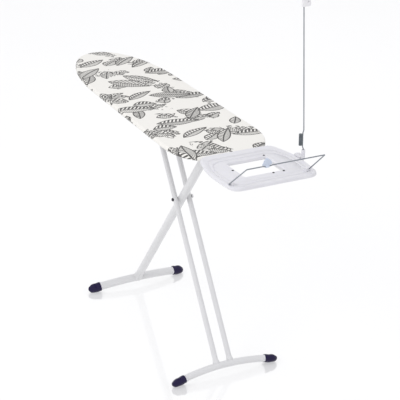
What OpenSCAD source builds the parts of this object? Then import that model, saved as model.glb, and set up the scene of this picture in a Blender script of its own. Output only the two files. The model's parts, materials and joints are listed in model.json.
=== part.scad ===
// Folding ironing board with a scissor stand, a moulded iron rest and a sprung cord holder.
// Millimetres, +Z up, +X from the nose of the board towards the iron rest.
// The origin is on the floor, in the middle of the object's length and width.

/* [Board] */
// Length of the board from the nose to the tail edge
board_l = 1306; // [1080:1:1580]
// Width of the board at its tail end
board_w = 376; // [310:1:455]
// Height of the ironing surface above the floor
board_h = 915; // [760:1:960]
// Length of the rounded nose
nose_l = 450; // [360:1:520]
// Length of the rounded tail
tail_l = 200; // [140:1:240]
// Thickness of the felt pad
pad_t = 6; // [3:0.5:10]
// Thickness of the cover cloth
cloth_t = 2; // [1:0.5:3]
// Depth of the rim under the deck sheet
rim_h = 8; // [6:0.5:14]

/* [Legs] */
// Diameter of the main leg tube
main_d = 32; // [26:0.2:39]
// Diameter of each twin leg tube
twin_d = 20; // [16:0.2:25]
// Wall of the leg tubes
tube_wall = 1.5; // [1:0.1:2]
// Main leg's pivot, measured back from the tail edge
main_top_back = 187; // [170:1:230]
// Main leg's foot, measured back from the tail edge
main_foot_back = 885; // [760:1:940]
// Twin leg's sliding top in this pose, measured back from the tail edge
twin_top_back = 610; // [560:1:640]
// Twin leg's foot, measured back from the tail edge
twin_foot_back = 55; // [20:1:120]
// Diameter of the bolt where the legs cross
bolt_d = 10; // [8:0.5:12]
// Diameter of the pivot pins at the tops of the legs
pin_d = 8; // [6:0.5:10]

/* [Feet] */
// Length of each foot over its end caps
foot_l = 442; // [380:1:520]
// Height of the foot tube
foot_h = 32; // [26:1:38]
// Thickness of the foot tube
foot_t = 26; // [20:1:30]
// Rise of the arch in the middle of a foot
foot_rise = 21; // [10:1:28]
// Height of a foot's end over the floor, at its centre line
foot_z = 18; // [17:0.5:22]

/* [Iron rest] */
// Length of the iron rest beyond the board's tail
tray_l = 298; // [260:1:340]
// Width of the iron rest
tray_w = 340; // [290:1:360]
// Opening in the iron rest, along the board
window_l = 133; // [100:1:150]
// Opening in the iron rest, across the board
window_w = 156; // [120:1:170]
// Length of the wire bail's arms
bail_arm = 138; // [110:1:160]
// Lean of the wire bail's arms above the horizontal
bail_lean = 40; // [30:1:70]
// Diameter of the bail and mast wire
wire_d = 4; // [3:0.1:5]

/* [Cord holder] */
// Height of the cord clip above the ironing surface
mast_h = 521; // [400:1:560]
// Diameter of the mast's spring
coil_d = 16; // [13:0.5:20]
// Turns of the mast's spring
coil_turns = 11; // [6:1:12]
// Width of the cord clip
clip_w = 33; // [26:1:40]

/* [Hidden] */

// Colours
frame_white = [0.87, 0.87, 0.88];
tray_white = [0.89, 0.89, 0.92];
cap_navy = [0.14, 0.11, 0.27];
steel = [0.72, 0.73, 0.75];
wire_grey = [0.55, 0.57, 0.60];
zinc = [0.60, 0.61, 0.62];
linen = [0.93, 0.92, 0.90];
felt_grey = [0.72, 0.71, 0.69];
plastic_black = [0.12, 0.12, 0.13];
clip_grey = [0.86, 0.86, 0.87];
latch_blue = [0.77, 0.80, 0.86];

// Running clearance of a turning pin, on its diameter
run = 0.1;
// Gap left between neighbours that never touch
gap = 0.5;

// Overall layout
bail_x = 262;
reach = bail_x + bail_arm * cos(bail_lean) + wire_d / 2;
tail_x = (board_l - reach) / 2;
nose_x = tail_x - board_l;

// Levels of the layers, from the ironing surface down
pad_top = board_h - cloth_t;
deck_top = pad_top - pad_t;
sheet_t = 1;
sheet_z = deck_top - sheet_t;
rim_z = sheet_z - rim_h;
hem_t = 2;
hem_z = rim_z - hem_t;
hem_in = 26;
cord_in = 20;
rim_w = 10;
fold_t = 1.5;
arm_h = 8;
arm_z = hem_z - arm_h;
arm_w = 20;
// The arms run inside the cover's hem and under the iron rest's edge
arm_y = min(board_w / 2 - hem_in - 34, tray_w / 2 - 65);
bar_w = 30;
pivot_z = board_h - 50;

// Leg lines: tilt from the vertical, and distances down each leg from its top pivot
fall = pivot_z - foot_z;
main_tilt = atan((main_foot_back - main_top_back) / fall);
twin_tilt = atan((twin_top_back - twin_foot_back) / fall);
cross_fall = (twin_top_back - main_top_back) / (tan(main_tilt) + tan(twin_tilt));
main_cross = cross_fall / cos(main_tilt);
twin_cross = cross_fall / cos(twin_tilt);
main_foot = fall / cos(main_tilt);
twin_foot = fall / cos(twin_tilt);
rear_x = tail_x - main_top_back;
slide_x = tail_x - twin_top_back;
cross_x = rear_x - cross_fall * tan(main_tilt);
cross_z = pivot_z - cross_fall;

// Widths across the scissor
washer_t = 2;
twin_y = main_d / 2 + washer_t + gap + twin_d / 2;
lug_t = 17;
cheek_t = 2.5;
bridge_y = twin_y + twin_d / 2 + 1.5;
bridge_t = 3;
rail_in = bridge_y + bridge_t + 3;
rail_w = 20;
rail_t = 2;
shoe_l = 44;
shoe_h = 14;
shoe_w = rail_w - rail_t - 3;
// Room over and under the shoes: the twin leg's top rises a little halfway through the fold,
// and sinks a little at the greatest height
shoe_rise = 5.5;
shoe_sink = 2;
rail_low = pivot_z - shoe_h / 2 - gap - shoe_sink - rail_t;
rail_high = pivot_z + shoe_h / 2 + shoe_rise + rail_t;
rail_front = rear_x - main_cross - twin_cross - shoe_l / 2 - 45;
rail_back = slide_x + 110;
bridge_l = 40;

// Foot arches
foot_flat = foot_l / 2 - 26;
arch_r = (foot_flat * foot_flat + foot_rise * foot_rise) / (2 * foot_rise);
bar_half = foot_l / 2 - 53;
bar_turn = asin(bar_half / arch_r);
foot_wall = 1.6;

// Height lever
lever_x = slide_x - 8;
lever_y = rail_in + 6;
lever_t = 3.5;
lever_z = rail_high + shoe_sink + gap;
bridge_z = lever_z + lever_t + gap;
lever_end = board_w / 2 - 28;
rack_t = 4;
rack_x = slide_x - 110;
rack_pitch = 15;
rack_teeth = 11;
tooth = 6;
tooth_gap = 0.7;
rack_y = rail_in + rail_w;
pawl_y = rack_y + rack_t + tooth + tooth_gap;

// Iron rest levels and the bail's axis
tray_x = tail_x + 2;
tray_rim = board_h + 8;
tray_top = board_h + 5;
tray_t = 3;
skirt_z = board_h - 4;
window_x = tail_x + 86;
stud_h = 1.5;
bail_z = tray_top + 6;
// The bail sits a little to one side, clear of the cord holder
bail_y = -8.5;
bail_half = 150;
bail_top = 142;
bail_in = 134;
plug_d = wire_d + 4;
plug_l = 10;
boss_d = 14;
screw_d = 5;
screw_head = 2.4;

// Cord holder
mast_x = tail_x + 145;
mast_y = tray_w / 2 + 17;
socket_h = 30;
socket_d = 13;
coil_low = board_h + 42;
coil_pitch = wire_d + 0.2;
coil_x = mast_x - 6;
coil_y = mast_y - 7;
coil_top = coil_low + coil_turns * coil_pitch;
mast_lean = 3.6;
clip_t = 9;
clip_h = 29;
cord_d = 8;

// --- Outlines and paths -------------------------------------------------------------

function unit(v) = v / norm(v);

// A soft corner at p, cut back by c towards a and b
function bend(a, p, b, c, n = 5) =
    let (s = p + unit(a - p) * c, e = p + unit(b - p) * c)
    [for (k = [0 : n]) let (t = k / n) (1 - t) * (1 - t) * s + 2 * t * (1 - t) * p + t * t * e];

function rounded(pts, cuts) =
    [for (i = [0 : len(pts) - 1])
        each bend(pts[(i + len(pts) - 1) % len(pts)], pts[i], pts[(i + 1) % len(pts)], cuts[i])];

function routed(pts, c) =
    [pts[0], for (i = [1 : len(pts) - 2]) each bend(pts[i - 1], pts[i], pts[i + 1], c, 3), pts[len(pts) - 1]];

// Half width of the board at x from the nose: a blunt nose, a slight taper and a squarer tail
function half_width(x, l, w) =
    let (n = max(0, 1 - x / nose_l), t = max(0, 1 - (l - x) / tail_l))
    w * (0.945 + 0.055 * x / l) * pow(1 - n * n, 1 / 2.2) * pow(1 - t * t, 1 / 3.5);

// Distances from the nose at which the outline has a point
function stations(l) = concat(
    [for (a = [9 : 9 : 90]) nose_l * (1 - cos(a))],
    [for (a = [90 : -9 : 9]) l - tail_l * (1 - cos(a))]);

// The board's outline, drawn in by d all round
function board_outline(d) =
    let (l = board_l - 2 * d, w = board_w / 2 - d, xs = stations(l), n = len(xs), x0 = nose_x + d)
    concat([[x0, 0]],
        [for (x = xs) [x0 + x, -half_width(x, l, w)]],
        [[x0 + l, 0]],
        [for (i = [n - 1 : -1 : 0]) [x0 + xs[i], half_width(xs[i], l, w)]]);

function tray_outline(d) =
    let (x0 = tray_x + d, x1 = tray_x + tray_l - d, w = tray_w / 2 - d,
        side = [[x0, w - 32], [x0 + 100, w - 5], [x0 + 170, w], [x1, w - 10]], n = len(side),
        cuts = [28, 34, 34, 38])
    rounded(concat([for (p = side) [p.x, -p.y]], [for (i = [n - 1 : -1 : 0]) side[i]]),
        concat(cuts, [for (i = [n - 1 : -1 : 0]) cuts[i]]));

function oval(h, t, n = 24) =
    [for (i = [0 : n - 1]) let (a = 360 * i / n, c = cos(a), s = sin(a))
        [sign(c) * pow(abs(c), 0.8) * h / 2, sign(s) * pow(abs(s), 0.8) * t / 2]];

module slab(pts, z0, z1) {
    translate([0, 0, z0]) linear_extrude(z1 - z0) polygon(pts);
}

module frame_ring(outer, inner, z0, z1) {
    translate([0, 0, z0]) linear_extrude(z1 - z0) difference() { polygon(outer); polygon(inner); }
}

module box(x0, x1, y0, y1, z0, z1) {
    translate([x0, y0, z0]) cube([x1 - x0, y1 - y0, z1 - z0]);
}

module pin_y(d, y0, y1, fn = 32) {
    translate([0, y0, 0]) rotate([-90, 0, 0]) cylinder(d = d, h = y1 - y0, $fn = fn);
}

// A round wire along a path that stays in one plane, whose normal is given
module wire(pts, d, normal, sides = 10) {
    n = len(pts);
    tangent = [for (i = [0 : n - 1]) unit(pts[min(i + 1, n - 1)] - pts[max(i - 1, 0)])];
    rings = [for (i = [0 : n - 1]) let (side = unit(cross(tangent[i], normal)))
        for (k = [0 : sides - 1]) let (a = 360 * k / sides)
            pts[i] + d / 2 * (cos(a) * side + sin(a) * normal)];
    walls = [for (i = [0 : n - 2]) for (k = [0 : sides - 1]) let (m = (k + 1) % sides)
        [i * sides + k, i * sides + m, (i + 1) * sides + m, (i + 1) * sides + k]];
    ends = [[for (k = [sides - 1 : -1 : 0]) k], [for (k = [0 : sides - 1]) (n - 1) * sides + k]];
    polyhedron(points = rings, faces = concat(walls, ends), convexity = 6);
}

module in_main_leg() { translate([rear_x, 0, pivot_z]) rotate([0, main_tilt, 0]) children(); }
module in_twin_leg() { translate([slide_x, 0, pivot_z]) rotate([0, -twin_tilt, 0]) children(); }
module in_slider() { translate([slide_x, 0, pivot_z]) children(); }
module at_cross() { translate([cross_x, 0, cross_z]) children(); }

// --- Top ----------------------------------------------------------------------------

module cover() {
    color(linen) {
        slab(board_outline(0), pad_top, board_h);
        frame_ring(board_outline(0), board_outline(cloth_t), hem_z, pad_top);
        frame_ring(board_outline(cloth_t), board_outline(hem_in), hem_z, rim_z);
    }
}

module felt_pad() { color(felt_grey) slab(board_outline(cloth_t), deck_top, pad_top); }

module deck_sheet() { color(zinc) slab(board_outline(cloth_t), sheet_z, deck_top); }

// A folded channel, closed by the sheet above it
module deck_rim() {
    color(zinc) difference() {
        frame_ring(board_outline(cloth_t), board_outline(cloth_t + rim_w), rim_z, sheet_z);
        frame_ring(board_outline(cloth_t + fold_t), board_outline(cloth_t + rim_w - fold_t), rim_z + fold_t,
            sheet_z + 1);
    }
}

module cover_drawcord() {
    color(linen) frame_ring(board_outline(cord_in - 3), board_outline(cord_in), rim_z, rim_z + 3);
}

// Half width inside the drawcord, where the board is narrower of the two sides of a crossbar
function bar_reach(x) =
    let (l = board_l - 2 * cord_in, w = board_w / 2 - cord_in, at = x - nose_x - cord_in)
    min(half_width(at - bar_w / 2, l, w), half_width(at + bar_w / 2, l, w));

// A pressed channel across the underside of the sheet, open upwards
module crossbar(x) {
    half = bar_reach(x) - 8;
    difference() {
        box(x - bar_w / 2, x + bar_w / 2, -half, half, rim_z, sheet_z);
        box(x - bar_w / 2 + fold_t, x + bar_w / 2 - fold_t, fold_t - half, half - fold_t,
            rim_z + fold_t, sheet_z + 1);
        children();
    }
}

module screw_bores(x, ys, d) {
    for (y = ys) translate([x, y, arm_z - 1]) cylinder(d = d, h = sheet_z - arm_z, $fn = 24);
}

front_x = rail_front + 20;
mid_x = rail_back - 20;
end_x = tail_x - 105;

module crossbar_front() { color(zinc) crossbar(front_x); }
module crossbar_mid() { color(zinc) crossbar(mid_x); }
module crossbar_rear() { color(zinc) crossbar(rear_x) screw_bores(rear_x, [-arm_y, arm_y], screw_d + run); }
module crossbar_tail() { color(zinc) crossbar(end_x) screw_bores(end_x, [-arm_y, arm_y], screw_d + run); }

// A channel rail, open towards the middle
module rail(side) {
    y = side * rail_in;
    color(zinc) difference() {
        box(rail_front, rail_back, min(y, y + side * rail_w), max(y, y + side * rail_w), rail_low, rail_high);
        box(rail_front - 1, rail_back + 1,
            side > 0 ? y - 1 : y - rail_w + rail_t, side > 0 ? y + rail_w - rail_t : y + 1,
            rail_low + rail_t, rail_high - rail_t);
    }
}

module rail_left() { rail(-1); }
module rail_right() { rail(1); }

module rail_hangers() {
    color(zinc) for (x = [front_x, mid_x], side = [-1, 1]) {
        y = side > 0 ? rail_in : -rail_in - rail_w;
        box(x - 12, x + 12, y, y + rail_w, rail_high, rim_z);
    }
}

// Toothed strip on the right rail: one notch for each height
module height_rack() {
    strip_l = rack_pitch * (rack_teeth - 1) + 6;
    color(zinc) {
        box(rack_x, rack_x + strip_l, rack_y, rack_y + rack_t, rail_low, rail_high);
        for (i = [0 : rack_teeth - 1]) translate([rack_x + i * rack_pitch, 0, 0])
            box(0, 6, rack_y + rack_t, rack_y + rack_t + tooth, rail_low, rail_high);
    }
}

module leg_bracket() {
    half = bar_w / 2;
    color(zinc) translate([rear_x, 0, 0]) {
        box(-half, half, -lug_t / 2 - cheek_t - 0.3, lug_t / 2 + cheek_t + 0.3, rim_z - 4, rim_z);
        for (side = [-1, 1]) translate([0, side * (lug_t / 2 + 0.3 + cheek_t / 2), 0]) difference() {
            box(-half, half, -cheek_t / 2, cheek_t / 2, pivot_z - 12, rim_z - 4);
            translate([0, 0, pivot_z]) pin_y(pin_d + run, -cheek_t, cheek_t);
        }
    }
}

module leg_pivot_pin() {
    end = lug_t / 2 + 0.3 + cheek_t;
    color(steel) translate([rear_x, 0, pivot_z]) {
        pin_y(pin_d, -end, end);
        pin_y(pin_d + 4, -end - 1.6, -end);
        pin_y(pin_d + 4, end, end + 1.6);
    }
}

// --- Iron rest ----------------------------------------------------------------------

tray_screw_x = [tail_x + 44, tail_x + 212];

module tray_arm(y) {
    color(frame_white) difference() {
        box(rear_x - 40, tail_x + 226, y - arm_w / 2, y + arm_w / 2, arm_z, hem_z);
        for (x = [rear_x, end_x, tray_screw_x[0], tray_screw_x[1]])
            translate([x, y, arm_z - 1]) cylinder(d = screw_d + run, h = arm_h + 2, $fn = 24);
    }
}

module tray_arm_left() { tray_arm(-arm_y); }
module tray_arm_right() { tray_arm(arm_y); }

module arm_spacers() {
    color(plastic_black) for (x = [rear_x, end_x], y = [-arm_y, arm_y])
        translate([x, y, hem_z]) difference() {
            cylinder(d = boss_d, h = rim_z - hem_z, $fn = 32);
            translate([0, 0, -1]) cylinder(d = screw_d + run, h = rim_z - hem_z + 2, $fn = 24);
        }
}

module screw(x, y, top) {
    translate([x, y, arm_z - screw_head]) cylinder(d = 9, h = screw_head, $fn = 32);
    translate([x, y, arm_z]) cylinder(d = screw_d, h = top - arm_z, $fn = 24);
}

module arm_screws() {
    color(steel) for (x = [rear_x, end_x], y = [-arm_y, arm_y]) screw(x, y, sheet_z - 2);
}

module tray_screws() {
    color(steel) for (x = tray_screw_x, y = [-arm_y, arm_y]) screw(x, y, tray_top - tray_t - 2);
}

// The window is a rounded rectangle, grown by d
module window_shape(d) {
    x0 = window_x - d;
    x1 = window_x + window_l + d;
    w = window_w / 2 + d;
    polygon(rounded([[x0, -w], [x1, -w], [x1, w], [x0, w]], [10 + d, 10 + d, 10 + d, 10 + d]));
}

module iron_rest_tray() {
    color(tray_white) {
        difference() {
            union() {
                slab(tray_outline(0), tray_top - tray_t, tray_top);
                frame_ring(tray_outline(0), tray_outline(14), tray_top, tray_rim);
                frame_ring(tray_outline(0), tray_outline(2.5), skirt_z, tray_top - tray_t);
                for (side = [-1, 1]) translate([0, bail_y, 0]) box(tail_x + bail_x - 9, tail_x + bail_x + 9,
                    side > 0 ? bail_in : -bail_in - plug_l, side > 0 ? bail_in + plug_l : -bail_in,
                    tray_top, bail_z + 7);
                for (x = tray_screw_x, y = [-arm_y, arm_y])
                    translate([x, y, hem_z]) cylinder(d = boss_d, h = tray_top - tray_t - hem_z, $fn = 32);
            }
            translate([0, 0, skirt_z - 1]) linear_extrude(tray_rim - skirt_z + 2) window_shape(0);
            for (side = [-1, 1]) translate([tail_x + bail_x, bail_y, bail_z])
                pin_y(plug_d + run, side > 0 ? bail_in - 1 : -bail_in - plug_l - 1,
                    side > 0 ? bail_in + plug_l + 1 : -bail_in + 1);
            for (x = tray_screw_x, y = [-arm_y, arm_y])
                translate([x, y, hem_z - 1])
                    cylinder(d = screw_d + run, h = tray_top - tray_t - hem_z, $fn = 24);
        }
        translate([0, 0, skirt_z + 4]) linear_extrude(tray_top - tray_t - skirt_z - 4) difference() {
            window_shape(2.5);
            window_shape(0);
        }
    }
}

// Heat-resistant studs that keep the iron's sole off the panel
module heat_studs() {
    at = [[-8, 72], [66, -window_w / 2 - 8], [window_l + 8, 26], [window_l + 8, 65]];
    color(plastic_black) for (p = at)
        translate([window_x + p.x, p.y, tray_top]) cylinder(d = 8, h = stud_h, $fn = 32);
}

module in_bail() { translate([tail_x + bail_x, bail_y, bail_z]) rotate([0, -bail_lean, 0]) children(); }

notch_y = -66.5;
notch_half = 17;
notch_depth = 6;

module bail_wire() {
    b = bail_half;
    t = bail_top;
    route = [[0, -bail_in - 2, 0], [0, -b, 0], [bail_arm, -t, 0],
        [bail_arm, notch_y - notch_half, 0], [bail_arm - notch_depth, notch_y - notch_half + 6, 0],
        [bail_arm - notch_depth, notch_y + notch_half - 6, 0], [bail_arm, notch_y + notch_half, 0],
        [bail_arm, t, 0], [0, b, 0], [0, bail_in + 2, 0]];
    color(wire_grey) in_bail() wire(routed(route, 4), wire_d, [0, 0, 1]);
}

// Bearing plugs pressed onto the wire's ends, turning in the iron rest's lugs
module bail_plugs() {
    color(wire_grey) in_bail() for (side = [-1, 1]) {
        y0 = side > 0 ? bail_in : -bail_in - plug_l;
        difference() {
            pin_y(plug_d, y0, y0 + plug_l);
            pin_y(wire_d, side > 0 ? bail_in + 1.95 : y0 - 1,
                side > 0 ? bail_in + plug_l + 1 : -bail_in - 1.95);
        }
    }
}

// Low triangular tongue that snaps onto the bail's notch
module bail_latch() {
    hub = wire_d + 5;
    tip = 24;
    at_notch = [bail_arm - notch_depth, notch_y, 0];
    color(latch_blue) in_bail() translate(at_notch) rotate([0, bail_lean, 0]) difference() {
        union() {
            pin_y(hub, -6.5, 6.5);
            rotate([0, -10, 0]) translate([-1.5, 0, 2]) rotate([90, 0, 90]) linear_extrude(3)
                polygon(rounded([[-6.5, 0], [6.5, 0], [18, 5], [16, 12], [3, tip], [-3, tip], [-18, 4]],
                    [1, 1, 2, 3, 2, 2, 2]));
        }
        pin_y(wire_d + run, -20, 20);
    }
}

// --- Cord holder --------------------------------------------------------------------

module mast_clamp() {
    x0 = mast_x - 22;
    x1 = mast_x + 14;
    edge = tray_w / 2;
    color(tray_white) difference() {
        union() {
            box(x0, x1, edge - 6, edge + 4, tray_rim, tray_rim + 6);
            box(x0, x1, edge + 1, edge + 12, skirt_z - 5, tray_rim + 6);
            box(x0, x1, edge - 12, edge + 4, skirt_z - 5, skirt_z - 0.2);
            translate([mast_x, mast_y, board_h - 6]) cylinder(d = socket_d, h = socket_h + 6, $fn = 48);
        }
        translate([mast_x, mast_y, board_h]) cylinder(d = wire_d + 2 + run, h = socket_h + 1, $fn = 32);
    }
}

// The wire's lower leg wears a bearing sleeve that turns in the socket
module mast_stub() {
    out = unit([coil_x - mast_x, coil_y - mast_y, 0]);
    turn = coil_d / 2 - wire_d / 2;
    foot = [mast_x, mast_y, board_h + socket_h - 1];
    color(wire_grey) {
        translate([mast_x, mast_y, board_h + 0.3]) cylinder(d = wire_d + 2, h = socket_h - 1.3, $fn = 32);
        wire(routed([foot, foot + [0, 0, 2.5], [coil_x, coil_y, coil_low - 2.5] - out * turn,
            [coil_x, coil_y, coil_low] - out * turn], 1.2), wire_d, unit(cross(out, [0, 0, 1])));
    }
}

module mast_spring() {
    ring = coil_d / 2 - wire_d / 2;
    color(wire_grey * 0.75) translate([coil_x, coil_y, coil_low]) rotate_extrude($fn = 48)
        for (i = [0 : coil_turns - 1]) translate([ring, (i + 0.5) * coil_pitch]) union() {
            circle(d = wire_d, $fn = 20);
            translate([-wire_d / 4, -coil_pitch / 2]) square([wire_d / 2, coil_pitch]);
        }
}

function up_mast(h) = [mast_x - h * sin(mast_lean), mast_y, coil_top + h * cos(mast_lean)];
mast_len = (board_h + mast_h - coil_top) / cos(mast_lean);

module mast_wire() {
    ring = coil_d / 2 - wire_d / 2;
    out = unit([coil_x - mast_x, coil_y - mast_y, 0]);
    start = [coil_x, coil_y, coil_top + 0.1] - out * ring;
    path = routed([start + [0, 0, 0.8], up_mast(9), up_mast(40), up_mast(mast_len + 20)], 3);
    color(wire_grey) wire(concat([start], path), wire_d, unit([out.y, -out.x, 0]), 10);
}

module cord_clip() {
    base = up_mast(mast_len);
    h = clip_h;
    shape = rounded([[-9, 0], [clip_w - 9, 0], [clip_w - 9, h - 4], [clip_w / 2 - 2, h], [-9, h - 8]],
        [4, 6, 4, 5, 5]);
    slot_x = clip_w - 20;
    color(clip_grey) translate(base) rotate([0, -mast_lean, 0]) rotate([0, 0, 90]) difference() {
        translate([0, clip_t / 2, 0]) rotate([90, 0, 0]) linear_extrude(clip_t) difference() {
            polygon(shape);
            translate([slot_x, h / 2]) circle(d = cord_d, $fn = 32);
        }
        translate([slot_x + 1, -clip_t, h / 2 - 2]) cube([clip_w, 2 * clip_t, 4]);
        translate([0, 0, -1]) cylinder(d = wire_d + run, h = 21.5, $fn = 32);
    }
}

// --- Main leg -----------------------------------------------------------------------

module foot_bar_solid(foot, h, t) {
    translate([0, 0, -(foot - foot_rise + arch_r)]) rotate([0, -90, 0]) rotate([0, 0, -bar_turn])
        rotate_extrude(angle = 2 * bar_turn, $fn = 720) translate([arch_r, 0]) polygon(oval(h, t));
}

module foot_bar(foot) {
    translate([0, 0, -(foot - foot_rise + arch_r)]) rotate([0, -90, 0]) rotate([0, 0, -bar_turn])
        rotate_extrude(angle = 2 * bar_turn, $fn = 720) translate([arch_r, 0]) difference() {
            polygon(oval(foot_h, foot_t));
            polygon(oval(foot_h - 2 * foot_wall, foot_t - 2 * foot_wall));
        }
}

// An end cap: a bullet over the end of the bar, with a flat sole and a plug inside the bar.
// tilt is the leg's tilt and x the foot's end, as they are for the leg it belongs to.
module foot_cap(foot, tilt, top_x, side) {
    end_s = foot - foot_rise + arch_r - sqrt(pow(arch_r, 2) - pow(foot_l / 2 - 16, 2));
    sole_x = top_x - end_s * sin(tilt);
    at_end = [0, 0, -(foot - foot_rise + arch_r)];
    hull() {
        translate([top_x, 0, pivot_z]) rotate([0, tilt, 0]) translate(at_end) rotate([-side * bar_turn, 0, 0])
            translate([0, 0, arch_r]) rotate([-side * 90, 0, 0]) linear_extrude(1) rotate(90)
                polygon(oval(foot_h + 5, foot_t + 6));
        translate([sole_x, side * (foot_l / 2 - 15), 16.5]) sphere(d = 30, $fn = 24);
        translate([sole_x, side * (foot_l / 2 - 26), 16.5]) sphere(d = 33, $fn = 24);
        translate([sole_x, side * (foot_l / 2 - 24), 0]) cylinder(d = 24, h = 1, $fn = 32);
    }
    translate([top_x, 0, pivot_z]) rotate([0, tilt, 0]) translate(at_end) rotate([-side * bar_turn, 0, 0])
        translate([0, 0, arch_r]) rotate([side * 90, 0, 0]) linear_extrude(20) rotate(90)
            polygon(oval(foot_h - 5, foot_t - 5));
}

module leg_tube(d, start, end) {
    difference() {
        translate([0, 0, -end]) cylinder(d = d, h = end - start, $fn = 48);
        translate([0, 0, -end - 1]) cylinder(d = d - 2 * tube_wall, h = end - start + 2, $fn = 48);
        children();
    }
}

lug_len = 30;

module main_leg_lug() {
    inner = main_d - 2 * tube_wall - 0.2;
    color(plastic_black) in_main_leg() difference() {
        union() {
            pin_y(22, -lug_t / 2, lug_t / 2, 48);
            box(-9, 9, -lug_t / 2, lug_t / 2, -lug_len, 0);
            translate([0, 0, -lug_len - 40]) cylinder(d = inner, h = 40, $fn = 48);
        }
        pin_y(pin_d + run, -lug_t, lug_t);
    }
}

module main_leg_tube() {
    color(frame_white) in_main_leg()
        leg_tube(main_d, lug_len, main_foot - foot_rise) {
            foot_bar_solid(main_foot, foot_h, foot_t);
            translate([0, 0, -main_cross]) pin_y(bolt_d + run, -main_d, main_d);
        }
}

module main_foot_bar() { color(frame_white) in_main_leg() foot_bar(main_foot); }
module main_cap_left() { color(cap_navy) foot_cap(main_foot, main_tilt, rear_x, -1); }
module main_cap_right() { color(cap_navy) foot_cap(main_foot, main_tilt, rear_x, 1); }

module pivot_bush() {
    half = sqrt(pow(main_d / 2 - tube_wall, 2) - 49) - 0.3;
    color(zinc) at_cross() difference() {
        pin_y(14, -half, half);
        pin_y(bolt_d + run, -half - 1, half + 1);
    }
}

// --- Twin leg -----------------------------------------------------------------------

module twin_tube(side) {
    color(frame_white) in_twin_leg() translate([0, side * twin_y, 0])
        leg_tube(twin_d, -14, twin_foot - foot_rise) {
            translate([0, -side * twin_y, 0]) foot_bar_solid(twin_foot, foot_h, foot_t);
            pin_y(pin_d + run, -twin_d, twin_d);
            translate([0, 0, -twin_cross]) pin_y(bolt_d + run, -twin_d, twin_d);
        }
}

module twin_tube_left() { twin_tube(-1); }
module twin_tube_right() { twin_tube(1); }
module twin_foot_bar() { color(frame_white) in_twin_leg() foot_bar(twin_foot); }
module twin_cap_left() { color(cap_navy) foot_cap(twin_foot, -twin_tilt, slide_x, -1); }
module twin_cap_right() { color(cap_navy) foot_cap(twin_foot, -twin_tilt, slide_x, 1); }

outer = twin_y + twin_d / 2;
// The bolt's head and nut are thin enough to pass between the rails when the legs are folded
nut_t = 5;

module cross_bolt() {
    color(cap_navy) at_cross() {
        pin_y(bolt_d, -outer - gap, outer + gap + nut_t + gap);
        translate([0, -outer - gap, 0]) rotate([90, 0, 0]) cylinder(d = bolt_d + 3, h = nut_t, $fn = 48);
    }
}

module cross_nut() {
    color(frame_white) at_cross() difference() {
        translate([0, outer + gap, 0]) rotate([-90, 0, 0]) cylinder(d = bolt_d + 6, h = nut_t, $fn = 6);
        pin_y(bolt_d + 0.02, outer, outer + gap + nut_t + 1);
    }
}

module pivot_washers() {
    color(clip_grey) at_cross() for (side = [-1, 1]) {
        y0 = side > 0 ? main_d / 2 + gap / 2 : -main_d / 2 - gap / 2 - washer_t;
        difference() {
            pin_y(bolt_d + 5, y0, y0 + washer_t, 48);
            pin_y(bolt_d + run, y0 - 1, y0 + washer_t + 1);
        }
    }
}

module slider_pins() {
    color(steel) in_slider() for (side = [-1, 1]) {
        y0 = twin_y - twin_d / 2 + 0.2;
        y1 = rail_in + shoe_w - 1;
        pin_y(pin_d, side > 0 ? y0 : -y1, side > 0 ? y1 : -y0);
    }
}

// --- Slider and height lever --------------------------------------------------------

module slider_bridge() {
    z = bridge_z - pivot_z;
    half = bridge_l / 2;
    color(zinc) in_slider() difference() {
        union() {
            box(-half, half, -bridge_y - bridge_t, bridge_y + bridge_t, z, z + 3);
            box(-half, half, bridge_y, rail_in + rail_w - 4, z, z + 3);
            for (side = [-1, 1]) box(-half, half,
                side > 0 ? bridge_y : -bridge_y - bridge_t, side > 0 ? bridge_y + bridge_t : -bridge_y,
                -9, z);
        }
        pin_y(pin_d + run, -bridge_y - 9, bridge_y + 9);
        translate([-8, lever_y, z - 1]) cylinder(d = 6 + run, h = 5, $fn = 32);
    }
}

module slider_shoe(side) {
    y0 = side > 0 ? rail_in + 1 : -rail_in - 1 - shoe_w;
    color(plastic_black) in_slider() difference() {
        box(-shoe_l / 2, shoe_l / 2, y0, y0 + shoe_w, -shoe_h / 2, shoe_h / 2);
        pin_y(pin_d + run, y0 - 1, y0 + shoe_w + 1);
    }
}

module slider_shoe_left() { slider_shoe(-1); }
module slider_shoe_right() { slider_shoe(1); }

module lever_pin() {
    color(steel) translate([lever_x, lever_y, 0]) {
        translate([0, 0, lever_z]) cylinder(d = 6, h = bridge_z + 3 - lever_z, $fn = 32);
        translate([0, 0, bridge_z + 3]) cylinder(d = 5, h = 6, $fn = 32);
    }
}

module lever_spring() {
    color(steel) translate([lever_x, lever_y, bridge_z + 3]) rotate_extrude($fn = 40)
        for (i = [0 : 3]) translate([4, 0.8 + i * 1.4]) union() {
            circle(d = 1.6, $fn = 16);
            translate([-0.3, -0.7]) square([0.6, 1.4]);
        }
}

// Half width of the lever's long arm, how far the grip reaches back along it, and the grip's height
blade = 7;
grip_in = 44;
grip_h = 11;

// Bell crank: a long arm to the board's edge and a short one with the pawl
module height_lever() {
    arm = lever_end - lever_y;
    reach_y = pawl_y - lever_y;
    color(frame_white) translate([lever_x, lever_y, lever_z]) difference() {
        union() {
            linear_extrude(lever_t) polygon(rounded(
                [[-8, -7], [8, -7], [34, reach_y - 1], [34, reach_y + 7], [20, reach_y + 7],
                    [blade, 26], [blade, arm], [-blade, arm], [-blade, 16], [-8, 8]],
                [7, 7, 3, 3, 4, 8, 4, 4, 3, 3]));
            translate([21, reach_y, rail_low - lever_z + 4]) cube([6, 6, lever_z - rail_low - 3]);
        }
        translate([0, 0, -1]) cylinder(d = 6 + run, h = lever_t + 2, $fn = 32);
    }
}

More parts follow.
